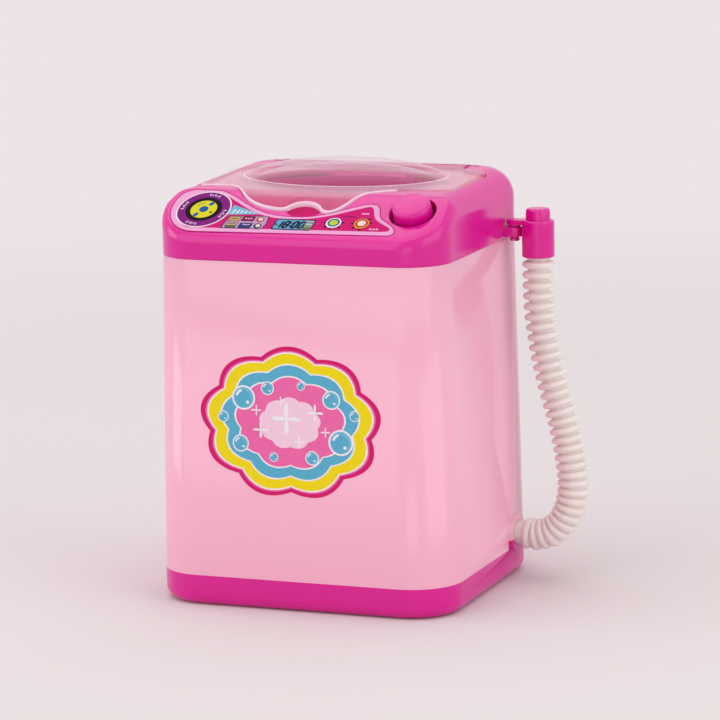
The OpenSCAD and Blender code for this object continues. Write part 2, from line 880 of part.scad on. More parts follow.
module motor() {
    color("#b9bcc2")
        translate([0, motor_y, motor_z])
            difference() {
                union() {
                    intersection() {
                        cylinder(r = motor_r, h = motor_len);
                        translate([-motor_r, -motor_flat, 0])
                            cube([2 * motor_r, 2 * motor_flat, motor_len]);
                    }
                    cylinder(r = motor_boss_r, h = motor_len + plate_t - 0.5);
                    for (s = [-1, 1])
                        translate([s * 6 - 1, motor_flat - 0.8, 1.5])
                            cube([2, 2.4, 0.5]);
                }
                translate([0, 0, motor_len - 3.2])
                    cylinder(r = motor_shaft_r + run_gap, h = 10);
            }
}

module drive_plate() {
    color("#e8e6e2")
        difference() {
            translate([0, 0, plate_z])
                linear_extrude(plate_t)
                    difference() {
                        union() {
                            translate([-post_x_front - 3.6, motor_y - 8])
                                square([2 * (post_x_front + 3.6), post_y_front + 11.6 - motor_y]);
                            translate([-post_x_rear - 3.6, motor_y])
                                square([2 * (post_x_rear + 3.6), post_y_rear + 3.6 - motor_y]);
                        }
                        translate([0, wash_y])
                            circle(r = bush_r + 0.02);
                        translate([0, motor_y])
                            circle(r = motor_boss_r + flat_gap);
                        for (sx = [-1, 1]) {
                            translate([sx * post_x_front, post_y_front])
                                circle(r = screw_hole_r);
                            translate([sx * post_x_rear, post_y_rear])
                                circle(r = screw_hole_r);
                            translate([sx * (motor_r + strap_t + 3.2), motor_y])
                                circle(r = pilot_r);
                        }
                    }
        }
}

module motor_bracket() {
    inner = motor_r + 0.15;
    color("#9aa0a6")
        translate([0, motor_y - strap_hd, 0])
            difference() {
                union() {
                    translate([-inner - strap_t, 0, motor_z - strap_t])
                        cube([2 * (inner + strap_t), 2 * strap_hd, strap_t - 0.02]);
                    for (s = [0, 1])
                        mirror([s, 0, 0]) {
                            translate([inner, 0, motor_z - strap_t])
                                cube([strap_t, 2 * strap_hd, motor_len + strap_t]);
                            translate([inner, 0, plate_z - strap_t])
                                cube([strap_t + strap_foot, 2 * strap_hd, strap_t]);
                        }
                }
                for (sx = [-1, 1])
                    translate([sx * (motor_r + strap_t + 3.2), strap_hd, plate_z - strap_t - 1])
                        cylinder(r = screw_hole_r, h = strap_t + 2);
            }
}

module motor_screws() {
    color("silver")
        for (sx = [-1, 1])
            translate([sx * (motor_r + strap_t + 3.2), motor_y, plate_z - strap_t])
                screw(strap_t + plate_t - 0.3, 1.7, 1.2);
}

module plate_screws() {
    color("silver")
        for (sx = [-1, 1]) {
            translate([sx * post_x_front, post_y_front, plate_z])
                screw(plate_t + 8);
            translate([sx * post_x_rear, post_y_rear, plate_z])
                screw(plate_t + 8);
        }
}

module tub_screws() {
    color("silver")
        tub_ears()
            translate([0, 0, tub_top_z - tub_ear_t])
                screw(tub_ear_t + 3.6);
}

module cap_screws() {
    color("silver")
        on_corners(cap_screw_x, cap_screw_y)
            translate([0, 0, shelf_z])
                screw(cap_screw_len);
}

module base_screws() {
    color("silver")
        on_corners(base_screw_x, base_screw_y)
            translate([0, 0, base_seat_z])
                screw(base_screw_len);
}

// Two cells side by side, laid head to tail
module battery_cells() {
    start = -bay_hl + contact_t + flat_gap / 2 + spring_len;
    color("#2f6f4f")
        for (s = [0, 1])
            translate([0, bay_y + (s - 0.5) * cell_pitch, cell_z])
                mirror([s, 0, 0])
                    translate([start, 0, 0])
                        rotate([0, 90, 0]) {
                            cylinder(r = cell_r, h = cell_len);
                            cylinder(r = cell_nub_r, h = cell_len + cell_nub);
                        }
}

module battery_contacts() {
    plate_w = 11;
    color("#c8ccd0") {
        for (sy = [-1, 1])
            translate([bay_hl - contact_t - flat_gap / 2, bay_y + sy * cell_pitch / 2, cell_z - 6]) {
                translate([0, -plate_w / 2, 0])
                    cube([contact_t, plate_w, 12]);
                translate([0, -1.5, 8.1])
                    cube([bay_wall + 3, 3, 0.8]);
            }
        translate([-bay_hl + flat_gap / 2, bay_y - cell_pitch / 2 - plate_w / 2, cell_z - 6])
            cube([contact_t, cell_pitch + plate_w, 12]);
    }
}

module battery_springs() {
    color("#c8ccd0")
        for (s = [0, 1])
            translate([0, bay_y + (s - 0.5) * cell_pitch, cell_z])
                mirror([s, 0, 0])
                    translate([-bay_hl + contact_t + flat_gap / 2, 0, 0])
                        rotate([0, 90, 0])
                            tube(3.4, 2.6, spring_len);
}

// Form of the battery door, or of the recess that takes it when grown
module door_shape(from, to, grow) {
    hx = bay_hl + door_lip + grow;
    hy = bay_hd + door_lip + grow;
    translate([0, bay_y, from])
        linear_extrude(to - from) {
            square([2 * hx, 2 * hy], center = true);
            translate([0, -door_tab_hd - grow])
                square([door_screw_x + door_tab_hd + grow, 2 * (door_tab_hd + grow)]);
        }
}

module battery_door() {
    color(magenta)
        difference() {
            door_shape(door_in, door_in + door_t, 0);
            translate([door_screw_x, bay_y, -1])
                cylinder(r = head_r + 0.3, h = 2.3);
            translate([door_screw_x, bay_y, 0])
                cylinder(r = screw_hole_r, h = 6);
            for (x = [-20 : 5 : 20])
                translate([x - 0.6, bay_y - 8, 0])
                    cube([1.2, 16, 0.8]);
        }
}

module door_screw() {
    color("silver")
        translate([door_screw_x, bay_y, 1.3])
            screw(5.6, head_r, 0.9);
}

// Inner drain pipe: out of the tub's nipple, down beside it and out to the hose
module drain_pipe() {
    tube_in = nipple_r + 0.85;
    down_z = nipple_z - drain_bend_r;
    up_z = drain_z + drain_bend_r;
    color("#e9e4e0")
        translate([0, drain_y, 0]) {
            translate([drain_pipe_x - drain_bend_r - pipe_cuff, 0, nipple_z])
                rotate([0, 90, 0])
                    tube(drain_pipe_r + 0.3, tube_in, pipe_cuff);
            translate([drain_pipe_x - drain_bend_r, 0, down_z])
                rotate([90, 0, 0])
                    rotate_extrude(angle = 90)
                        translate([drain_bend_r, 0])
                            pipe_section();
            translate([drain_pipe_x, 0, up_z])
                tube(drain_pipe_r, nipple_r, down_z - up_z);
            translate([drain_pipe_x + drain_bend_r, 0, up_z])
                rotate([90, 0, 0])
                    rotate([0, 0, 180])
                        rotate_extrude(angle = 90)
                            translate([drain_bend_r, 0])
                                pipe_section();
            translate([drain_pipe_x + drain_bend_r, 0, drain_z])
                rotate([0, 90, 0])
                    tube(drain_pipe_r, nipple_r, hose_inner_x - drain_pipe_x - drain_bend_r - 0.02);
        }
}

module pipe_section() {
    difference() {
        circle(r = drain_pipe_r);
        circle(r = nipple_r);
    }
}

module hose_arm() {
    color(magenta)
        difference() {
            union() {
                translate([swing_x, drain_y, arm_z])
                    cylinder(r = lug_r, h = arm_t);
                translate([swing_x, drain_y - lug_r, arm_z])
                    cube([arm_len, 2 * lug_r, arm_t]);
                translate([swing_x, drain_y, lug_z - 1.7])
                    cylinder(r = swing_pin_r, h = arm_z - lug_z + 2);
                translate([swing_x, drain_y, lug_z - 1.7])
                    cylinder(r = swing_pin_r + 0.3, h = 1.4);
                translate([socket_x, drain_y, socket_z])
                    cylinder(r = socket_r, h = socket_top - socket_z);
            }
            translate([socket_x, drain_y, socket_z - 1])
                cylinder(r = neck_r + 0.1, h = 20);
            // The pin's end is slit so that it springs through the lug
            translate([swing_x - 0.3, drain_y - 3, lug_z - 3])
                cube([0.6, 6, 2.6]);
        }
}

module hose_plug() {
    round_r = 1.2;
    color(magenta)
        translate([socket_x, drain_y, 0]) {
            translate([0, 0, hose_top + 0.05])
                cylinder(r = neck_r, h = socket_top + plug_h - round_r - hose_top);
            translate([0, 0, socket_top + plug_h - round_r])
                rotate_extrude() {
                    square([plug_r - round_r, round_r]);
                    intersection() {
                        translate([plug_r - round_r, 0])
                            circle(r = round_r);
                        square([plug_r, round_r]);
                    }
                }
            translate([0, 0, hose_top - 5])
                cylinder(r = plug_stem_r, h = 6);
        }
}

// Hose: a smooth curve through the route's points, cut into plain ends and ribs of equal pitch
function curve_at(p, i, t) =
    let (n = len(p), a = p[max(i - 1, 0)], b = p[i], c = p[i + 1], d = p[min(i + 2, n - 1)])
    0.5 * (2 * b + (c - a) * t + (2 * a - 5 * b + 4 * c - d) * t * t + (3 * b - a - 3 * c + d) * t * t * t);
hose_fine = concat([for (i = [0 : len(hose_route) - 2]) for (k = [0 : rings_per_span - 1])
    curve_at(hose_route, i, k / rings_per_span)], [hose_route[len(hose_route) - 1]]);
function running(p, i = 0, sum = 0, out = []) =
    i >= len(p) ? out : running(p, i + 1, sum + (i + 1 < len(p) ? norm(p[i + 1] - p[i]) : 0), concat(out, [sum]));
hose_run = running(hose_fine);
hose_length = hose_run[len(hose_run) - 1];
function place_at(s, lo = 0, hi = -1) =
    let (h = hi < 0 ? len(hose_run) - 1 : hi, m = floor((lo + h) / 2))
    h - lo <= 1 ? let (t = (s - hose_run[lo]) / max(hose_run[h] - hose_run[lo], 0.0001),
        d = hose_fine[h] - hose_fine[lo]) [hose_fine[lo] + d * t, d / norm(d)]
    : hose_run[m] <= s ? place_at(s, m, h) : place_at(s, lo, m);
neck_top = hose_top - socket_z + 0.6;
neck_low = boss_x + 2.2 - hose_inner_x;
rib_pitch = (hose_length - neck_top - neck_low) / hose_ribs;
// Each ring is a distance along the hose and a radius
hose_rings = concat([[0, neck_r], [neck_top, neck_r]],
    [for (i = [0 : hose_ribs - 1]) each [[neck_top + (i + 0.4) * rib_pitch, rib_r],
        [neck_top + (i + 0.9) * rib_pitch, root_r]]],
    [[hose_length - neck_low + 0.1, neck_r], [hose_length, neck_r]]);
function ring_points(s, r) =
    let (f = place_at(s), c = f[0], t = f[1])
    [for (k = [0 : hose_sides - 1]) let (a = 360 * (k + 0.5) / hose_sides)
        [c[0] + r * cos(a) * -t[1], drain_y + r * sin(a), c[1] + r * cos(a) * t[0]]];

module drain_hose() {
    n = len(hose_rings);
    m = hose_sides;
    points = concat([for (g = hose_rings) each ring_points(g[0], g[1])],
        [for (g = hose_rings) each ring_points(g[0], hose_bore_r)]);
    skin = [for (i = [0 : n - 2]) for (k = [0 : m - 1]) let (a = i * m + k, b = i * m + (k + 1) % m)
        each [[a, b, b + m], [a, b + m, a + m]]];
    bore = [for (f = skin) [f[0] + n * m, f[2] + n * m, f[1] + n * m]];
    ends = [for (k = [0 : m - 1]) let (a = k, b = (k + 1) % m, q = n * m, e = (n - 1) * m)
        each [[b, a, a + q], [b, a + q, b + q], [a + e, b + e, b + e + q], [a + e, b + e + q, a + e + q]]];
    color("#f2efec")
        polyhedron(points, concat(skin, bore, ends), convexity = 10);
}

// Printed film of the panel, or the recess for it when grown
module panel_film(depth, h, grow) {
    on_panel(0, 0)
        translate([0, 0, -depth])
            linear_extrude(h)
                if (grow > 0) offset(delta = grow) polygon(film_outline);
                else polygon(film_outline);
}

module panel_sticker() {
    color("#f08fc4")
        panel_film(film_t - flat_gap, film_t - flat_gap + film_proud, 0);
}

// A foam-cloud badge on the front wall, tilted to the wall's draft
module front_sticker() {
    tilt = atan((body_d - cap_d) / 2 / (cap_z - base_h));
    wall_y = -body_d / 2 + (badge_z - base_h) * tan(tilt) - fit_gap;
    color("#f48ac0")
        translate([badge_x, wall_y, badge_z])
            rotate([90 - tilt, 0, 0])
                linear_extrude(badge_t)
                    polygon([for (a = [0 : 4 : 356])
                        let (r = 1 - badge_bite * (1 - abs(cos(badge_lobes * (a - 90) / 2))))
                        [badge_a * r * cos(a), badge_b * r * sin(a)]]);
}

// A wire that runs straight between its points, with a ball at each bend
wire_r = 0.6;
module wire(points) {
    for (i = [0 : len(points) - 2]) {
        d = points[i + 1] - points[i];
        translate(points[i])
            rotate([0, acos(d[2] / norm(d)), atan2(d[1], d[0])])
                cylinder(r = wire_r, h = norm(d), $fn = 16);
        if (i > 0)
            translate(points[i])
                sphere(r = wire_r + 0.1, $fn = 16);
    }
}

// Where the wires start and end: the contacts' tags, the motor's tags and the switch's tags
tag_x = bay_hl + 2.9;
tag_z = cell_z + 2.95;
motor_tag = [6, motor_y + motor_flat + 2.3, motor_z + 1.75];
switch_tag_y = -cap_d / 2 + button_v * cos(panel_slope) + (switch_top + switch_h + 2) * sin(panel_slope) + 0.4;
switch_tag_z = ridge_z + button_v * sin(panel_slope) - (switch_top + switch_h + 2) * cos(panel_slope) - 0.5;

module wire_red() {
    color("red")
        wire([[tag_x, bay_y - cell_pitch / 2, tag_z], [tag_x, bay_y - cell_pitch / 2, 24], [33, -4, 34],
            [button_u + 2, switch_tag_y, 60], [button_u + 2, switch_tag_y, switch_tag_z]]);
}

module wire_black() {
    color("#202020")
        wire([[tag_x, bay_y + cell_pitch / 2, tag_z], [tag_x, bay_y + cell_pitch / 2, 21.5], [23, 8, 23.5],
            [-2, 1, 24.5], [-motor_tag[0], motor_tag[1], motor_tag[2]]]);
}

module wire_white() {
    color("white")
        wire([motor_tag, [12, -3, 26], [26, -12, 40], [button_u, switch_tag_y, 70],
            [button_u, switch_tag_y, switch_tag_z]]);
}

base_tray();
body_shell();
top_cap();
lid();
start_button();
button_spring();
switch_body();
switch_plunger();
switch_screws();
wash_tub();
pulsator();
pulsator_shaft();
shaft_seal();
shaft_bush();
drive_gear();
drive_plate();
motor();
motor_shaft();
motor_pinion();
motor_bracket();
motor_screws();
plate_screws();
tub_screws();
cap_screws();
base_screws();
battery_cells();
battery_contacts();
battery_springs();
battery_door();
door_screw();
drain_pipe();
hose_arm();
hose_plug();
drain_hose();
panel_sticker();
front_sticker();
wire_red();
wire_black();
wire_white();
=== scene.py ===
import json
import math

import bpy
import numpy as np
from mathutils import Matrix, Vector


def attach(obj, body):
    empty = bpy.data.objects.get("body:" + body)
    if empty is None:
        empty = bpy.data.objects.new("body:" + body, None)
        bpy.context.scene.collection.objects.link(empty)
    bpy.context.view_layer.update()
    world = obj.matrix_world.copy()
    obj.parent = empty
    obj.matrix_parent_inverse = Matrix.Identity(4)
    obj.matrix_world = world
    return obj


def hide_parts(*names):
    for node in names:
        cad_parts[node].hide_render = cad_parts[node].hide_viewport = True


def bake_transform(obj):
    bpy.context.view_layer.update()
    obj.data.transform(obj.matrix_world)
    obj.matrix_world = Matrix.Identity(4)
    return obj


# A toy washing machine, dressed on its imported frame.
# Shapes are worked out in millimetres and written to the meshes in metres.
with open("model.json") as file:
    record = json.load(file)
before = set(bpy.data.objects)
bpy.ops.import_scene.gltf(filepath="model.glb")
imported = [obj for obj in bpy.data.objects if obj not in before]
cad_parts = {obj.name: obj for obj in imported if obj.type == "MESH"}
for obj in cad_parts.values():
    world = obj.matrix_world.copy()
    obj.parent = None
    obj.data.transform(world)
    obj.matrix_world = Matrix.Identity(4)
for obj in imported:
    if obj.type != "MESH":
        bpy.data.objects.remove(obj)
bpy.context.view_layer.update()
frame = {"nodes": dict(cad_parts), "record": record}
millimetre = 0.001
imageSide = 720

# The camera looks from the front right and a little above, as the photograph was taken
viewpoint = {"lens": 190, "sensor": 36, "azimuth": 21.51, "elevation": 10.93, "roll": -1.175,
             "distance": 1.0682, "targetHeight": 0.05266, "opticalX": 343.9, "opticalY": 398.5}


# The view's axes come from azimuth and elevation and are then rolled; the shift moves the optical centre
def makeCamera():
    azimuth, elevation, roll = (math.radians(viewpoint[name]) for name in ("azimuth", "elevation", "roll"))
    forward = np.array([-math.sin(azimuth) * math.cos(elevation), math.cos(azimuth) * math.cos(elevation),
                        -math.sin(elevation)])
    sideways = np.array([math.cos(azimuth), math.sin(azimuth), 0.0])
    upright = np.cross(sideways, forward)
    across = sideways * math.cos(roll) + upright * math.sin(roll)
    upward = upright * math.cos(roll) - sideways * math.sin(roll)
    data = bpy.data.cameras.new("camera")
    data.lens, data.sensor_width = viewpoint["lens"], viewpoint["sensor"]
    data.shift_x = (imageSide / 2 - viewpoint["opticalX"]) / imageSide
    data.shift_y = (viewpoint["opticalY"] - imageSide / 2) / imageSide
    camera = bpy.data.objects.new("camera", data)
    place = np.array([0, 0, viewpoint["targetHeight"]]) - forward * viewpoint["distance"]
    pose = np.identity(4)
    pose[:3, 0], pose[:3, 1], pose[:3, 2], pose[:3, 3] = across, upward, -forward, place
    camera.matrix_world = Matrix(pose.tolist())
    bpy.context.scene.collection.objects.link(camera)
    bpy.context.scene.camera = camera


makeCamera()
print("camera in place")


# Values of a settings dictionary, by their names with spaces between
def pick(settings, names):
    return [settings[name] for name in names.split()]


# Every new shape is a stack of rings, each an anticlockwise loop of the same number of points.
# A face joins two neighbours on one ring to the same two on the next
def ringFaces(rings, around, joined):
    here = np.arange(around)
    there = (here + 1) % around
    low = np.arange(rings - 1)[:, None] * around
    corners = [low + here, low + there, low + there + around, low + here + around]
    quads = np.stack(corners, -1).reshape(-1, 4)
    if joined:
        last = (rings - 1) * around
        quads = np.concatenate([quads, np.stack([last + here, last + there, there, here], -1)])
    return quads.tolist()


# Smooth shading, broken at edges that turn more than the angle
def smoothed(piece, sharpAngle=35):
    piece.data.shade_smooth()
    piece.data.set_sharp_from_angle(angle=math.radians(sharpAngle))
    return piece


# A mesh from points in millimetres
def meshPiece(name, points, faces, sharpAngle=35):
    data = bpy.data.meshes.new(name)
    data.from_pydata((np.asarray(points, float).reshape(-1, 3) * millimetre).tolist(), [], faces)
    data.validate()
    piece = bpy.data.objects.new(name, data)
    bpy.context.scene.collection.objects.link(piece)
    return smoothed(piece, sharpAngle)


# A closed solid from rings (count, around, 3): flat ends, or a tube whose last ring meets its first
def ringSolid(name, rings, joined=False, sharpAngle=35):
    rings = np.asarray(rings, float)
    count, around = rings.shape[:2]
    faces = ringFaces(count, around, joined)
    if not joined:
        faces.append(list(range(around))[::-1])
        faces.append([(count - 1) * around + k for k in range(around)])
    return meshPiece(name, rings, faces, sharpAngle)


# The piece's mesh becomes what its modifiers make of it
def applied(piece):
    seen = piece.evaluated_get(bpy.context.evaluated_depsgraph_get())
    fresh = bpy.data.meshes.new_from_object(seen)
    piece.modifiers.clear()
    piece.data = fresh
    return piece


# Adds or takes away closed solids, one after another
def combine(piece, tools, way="DIFFERENCE"):
    for tool in tools:
        step = piece.modifiers.new("combine", "BOOLEAN")
        step.operation, step.object, step.solver = way, tool, "MANIFOLD"
        applied(piece)
        bpy.data.objects.remove(tool)
    return piece


# Angles set evenly round one turn
def turns(count):
    return 2 * np.pi * np.arange(count) / count


# Points on a circle, or on an ellipse: across by the cosine of the turn, up by its sine
def onEllipse(turn, a=1.0, b=None):
    return np.stack([a * np.cos(turn), (a if b is None else b) * np.sin(turn)], -1)


# A cubic curve from a to d that leaves towards b and arrives from c. Outlines are made of such curves and
# straight runs, as closed anticlockwise loops of plan points
def bezier(a, b, c, d, count):
    t = np.linspace(0, 1, count + 1)[:, None]
    a, b, c, d = (np.array(p, float) for p in (a, b, c, d))
    return a * (1 - t) ** 3 + b * 3 * (1 - t) ** 2 * t + c * 3 * (1 - t) * t ** 2 + d * t ** 3


# Points set at even steps along a closed loop, then eased a few times so that corners turn round
def evenLoop(points, step, easing=0):
    closed = np.vstack([points, points[:1]])
    run = np.concatenate([[0], np.cumsum(np.linalg.norm(np.diff(closed, axis=0), axis=1))])
    wanted = np.linspace(0, run[-1], max(8, int(round(run[-1] / step))) + 1)[:-1]
    loop = np.stack([np.interp(wanted, run, closed[:, k]) for k in range(closed.shape[1])], 1)
    for _ in range(easing):
        loop = (np.roll(loop, 1, 0) + 2 * loop + np.roll(loop, -1, 0)) / 4
    return loop


# The outward direction at each point: the step between its neighbours, turned a quarter
def outwards(loop):
    along = np.roll(loop, -1, 0) - np.roll(loop, 1, 0)
    along /= np.linalg.norm(along, axis=1)[:, None]
    return np.stack([along[:, 1], -along[:, 0]], 1)


# Each point of the loop moved outwards by the distance
def grown(loop, distance):
    return loop + outwards(loop) * np.asarray(distance)


# Straight runs and quarter circles, with the outward direction at each point
def roundedRectangle(width, depth, radius, perSide=44, perCorner=22):
    cx, cy = width / 2 - radius, depth / 2 - radius
    corners = np.array([(cx, cy), (-cx, cy), (-cx, -cy), (cx, -cy)])
    points, directions = [], []
    for k in range(4):
        turn = np.pi / 2 * (k + np.arange(perCorner) / perCorner)
        arc = onEllipse(turn)
        points.append(corners[k] + radius * arc)
        directions.append(arc)
        out = onEllipse(np.pi / 2 * (k + 1))
        share = np.arange(perSide)[:, None] / perSide
        points.append(corners[k] + radius * out + share * (corners[(k + 1) % 4] - corners[k]))
        directions.append(np.tile(out, (perSide, 1)))
    return np.vstack(points), np.vstack(directions)


# Profiles stop a hair short of the axis, where flat ends close them
axisGap = 0.05


# A turned solid from (radius, height) points: each goes round the axis by cosine and sine
def turned(name, profile, place, count=96, sharpAngle=35):
    circle = onEllipse(turns(count))
    rings = [place(atHeight(radius * circle, height)) for radius, height in profile]
    return ringSolid(name, rings, sharpAngle=sharpAngle)


# Points of a quarter circle: out by the sine of the turn, up by one less its cosine
def quarter(radius, steps=6, start=0.0, end=90.0):
    turn = np.radians(np.linspace(start, end, steps + 1))
    return [(radius * math.sin(t), radius * (1 - math.cos(t))) for t in turn]


# The same rounding as a list of (along, up), which starts upright and ends level
def shoulder(radius, steps, end=90.0):
    return onEllipse(np.radians(np.linspace(0, end, steps + 1)), radius).tolist()


# A plate with rounded upper and lower edges, from a plan outline
def plate(name, loop, low, high, rounding):
    rim = [(rounding - out, up) for out, up in quarter(rounding)]
    levels = [(inward, low + up) for inward, up in rim] + [(inward, high - up) for inward, up in rim[::-1]]
    return ringSolid(name, [atHeight(grown(loop, -inward), z) for inward, z in levels])


# Plan points at one height, or each at its own
def atHeight(xy, z):
    return np.column_stack([xy, np.broadcast_to(z, len(xy))])


# A turned piece's axes shifted in plan
def moved(x, y):
    return lambda points: points + np.array([x, y, 0])


# A closed box from its lowest to its highest corner
def box(name, low, high):
    loop = np.array([(low[0], low[1]), (high[0], low[1]), (high[0], high[1]), (low[0], high[1])], float)
    return ringSolid(name, [atHeight(loop, z) for z in (low[2], high[2])])


# A plain turned rod with flat ends
def rod(name, radius, foot, top, place, count=96):
    return turned(name, [(axisGap, foot), (radius, foot), (radius, top), (axisGap, top)], place, count)


# The top cap: two planes that meet in a soft fold, with a rounding that widens towards the back
cap = {"width": 84, "depth": 75.3, "corner": 13, "seam": 96.7, "ridge": 103.5, "panelSlope": 30,
       "panelLength": 20.4, "deckSlope": 2.3, "foldEase": 0.58, "wall": 1.8, "deck": 3.2, "inside": 2.8,
       "leastRound": 0.9, "core": 12.4, "seamEdge": 0.35, "clear": 130,
       "roundAt": (-36, -24.65, -17, 24.65), "leftRounds": (2.4, 2.4, 6, 8),
       "rightRounds": (2.4, 4.6, 6, 8)}
lid = {"halfWidth": 37, "thick": 1.5, "recess": 1.3, "slack": 0.4, "under": 1.2, "domeX": -0.8,
       "domeA": 30, "domeB": 18.7, "domeRise": 4.5, "domeWall": 1.2, "domeEase": (0.35, 0.4),
       "hingeIn": 9.15, "hingeBelow": 0.9, "barrel": 1.5, "pin": 1, "pinLength": 2, "chamfer": 0.2,
       "edge": 0.45, "border": 0.55, "washIn": 21.5, "tongueIn": 8.8, "flare": 0.28, "domeSink": 0.05,
       "domeFall": 60}
slope, deckSlope = math.radians(cap["panelSlope"]), math.radians(cap["deckSlope"])
capFront = -cap["depth"] / 2
foldY = capFront + cap["panelLength"] * math.cos(slope)
foldZ = cap["ridge"] + cap["panelLength"] * math.sin(slope)
hingeY = cap["depth"] / 2 - lid["hingeIn"]
hingeZ = foldZ + (hingeY - foldY) * math.tan(deckSlope) - lid["hingeBelow"]
washY = hingeY - lid["washIn"]
tongueHalf = lid["halfWidth"] - lid["tongueIn"]


# Height of the top before its edges are rounded: the lower of panel and deck, eased where they cross
def topHeight(y):
    panel = cap["ridge"] + (y - capFront) * math.tan(slope)
    deck = foldZ + (y - foldY) * math.tan(deckSlope)
    return (panel + deck - np.sqrt((panel - deck) ** 2 + cap["foldEase"] ** 2)) / 2


# Radius of the upper edge's rounding, looked up from front to back and mixed from left to right
def edgeRound(x, y):
    left, right = (np.interp(y, cap["roundAt"], rounds) for rounds in pick(cap, "leftRounds rightRounds"))
    return left + (right - left) * np.clip(x / cap["corner"], 0, 1)


# How far a plan point lies inside the cap's outline
def insetOf(x, y, inset=0.0):
    qx = np.abs(x) - (cap["width"] / 2 - cap["corner"])
    qy = np.abs(y) - (cap["depth"] / 2 - cap["corner"])
    outside = np.hypot(np.maximum(qx, 0), np.maximum(qy, 0)) + np.minimum(np.maximum(qx, qy), 0)
    return cap["corner"] - outside - inset


# Height of the finished surface: the top, less a quarter circle within the rounding of the edge
def capHeight(x, y, inset=0.0, below=0.0):
    r = np.maximum(edgeRound(x, y) - inset, cap["leastRound"])
    d = np.clip(insetOf(x, y, inset), 0, r)
    return topHeight(y) - below - (r - np.sqrt(np.maximum(r * r - (r - d) ** 2, 0)))


# Where u along the panel, v up its slope and lift off it lie in the toy: v and lift turned by the slope
def onPanel(u, v, lift=0.0):
    u, v, lift = np.broadcast_arrays(np.asarray(u, float), v, lift)
    return np.stack([u, capFront + v * math.cos(slope) - lift * math.sin(slope),
                     cap["ridge"] + v * math.sin(slope) + lift * math.cos(slope)], -1)


# A turned piece's axes set on the panel at (u, v), with its height as the lift
def panelPlace(u, v):
    return lambda points: onPanel(points[:, 0] + u, points[:, 1] + v, points[:, 2])


# The lid's plan: a wavy front edge with a finger notch, straight sides, and a tongue at the hinge
def lidOutline():
    front = np.vstack([[[-lid["halfWidth"], 6]],
                       bezier([-27.7, 6.8], [-21, 5.4], [-23.5, -5.5], [-7, -6.9], 30),
                       bezier([-5.4, -6.6], [-3, -3.3], [2.6, -3], [5.2, -7], 20),
                       bezier([7.2, -7.5], [13, -6.5], [14.5, 6.2], [25, 7.7], 30),
                       [[lid["halfWidth"], 9.4]]]) + [0, foldY]
    w = lid["halfWidth"]
    rear = np.array([[w, -11.9], [w - 0.7, -10.1], [w - 2.6, -8.5], [tongueHalf, -5.7], [tongueHalf, 0]])
    rear = rear + [0, hingeY]
    return np.vstack([front, rear, (rear * [-1, 1])[::-1]])


# A plug for cutting: a floor, a wall up the outline, and a flare that rounds the rim of the surface it cuts
def flaredPlug(name, loop, floor, surface, fillet):
    middle = loop.mean(0)
    rings = []
    for share in np.linspace(0.04, 1, 14):
        xy = middle + (loop - middle) * share
        rings.append(atHeight(xy, floor(xy)))
    for inward, out in quarter(fillet, 6, 0, 72):
        xy = grown(loop, out)
        rings.append(atHeight(xy, surface(xy) - fillet + inward))
    xy = grown(loop, fillet * 1.02)
    rings += [atHeight(xy, surface(xy) + 0.5), atHeight(xy, cap["clear"])]
    return ringSolid(name, rings)


# A turned piece's axes laid along the hinge
def alongHinge(points):
    return np.stack([points[:, 2], hingeY + points[:, 0], hingeZ + points[:, 1]], 1)


# The same plug, turned about the panel's own normal
def panelPlug(name, hole):
    radius, depth, fillet, footRound = pick(hole, "hole depth flare footRound")
    profile = [(axisGap, -depth)]
    profile += [(radius - footRound + out, -depth + up) for out, up in quarter(footRound)]
    profile += [(radius + out, -fillet + up) for up, out in quarter(fillet, 6, 0, 72)]
    profile += [(radius + fillet, 0.5), (radius + fillet, 12)]
    return turned(name, profile, panelPlace(hole["u"], hole["v"]))


button = {"u": 31.2, "v": 13.5, "radius": 5.35, "hole": 6.5, "depth": 4.6, "floor": 1.4, "cupWall": 1.4,
          "cupTop": -1.2, "rise": 3, "edge": 1.2, "crown": 0.25, "draft": 0.1, "underside": 2,
          "skirt": 1.4, "skirtWall": 1.2, "nick": 0.15, "side": ((0, 0.3), (0.06, 0.9)), "stem": 2,
          "stemNick": 0.2, "stemEnd": 7.4, "flare": 0.3, "footRound": 0.4}
scoop = {"u": 0, "v": 16, "hole": 6.4, "depth": 2.2, "flare": 0.5, "footRound": 1.4}
tub = {"a": 30.9, "b": 19.9, "collarGap": 0.4, "collarWall": 1.3, "collarFoot": 105.5, "collarTop": 112.2,
       "openingFoot": 100, "flare": 0.7, "earX": 31.3, "earY": 12.6, "top": 107, "earUnder": 2.6}
column = {"radius": 3, "foot": 94.5, "inX": 8.5, "inY": 9.65, "under": 5}
hinge = {"beside": 3.5, "front": 5, "behind": 3.5, "below": 3.7, "top": 113, "slack": 0.3,
         "troughFront": 4.6, "troughBehind": 1.8, "troughBelow": 2.3, "pinHole": 1.05, "pinReach": 31}
lug = {"radius": 2.3, "thick": 2.9, "foot": 97.4, "y": 19.5, "pinHole": 1.25, "holeEnds": (96, 102),
       "edge": 0.6, "root": 41, "gap": 0.3}
lug["x"] = cap["width"] / 2 + lug["radius"] + lug["gap"]
onButton, onPin = panelPlace(button["u"], button["v"]), moved(lug["x"], lug["y"])
switch = {"postU": 5.4, "postRadius": 1.7, "postTop": -5.2, "top": 9.8, "stemHole": 2.1}


# An ellipse about the middle of the wash opening
def ellipseLoop(inset, count=180):
    return onEllipse(turns(count), tub["a"] - inset, tub["b"] - inset) + [0, washY]


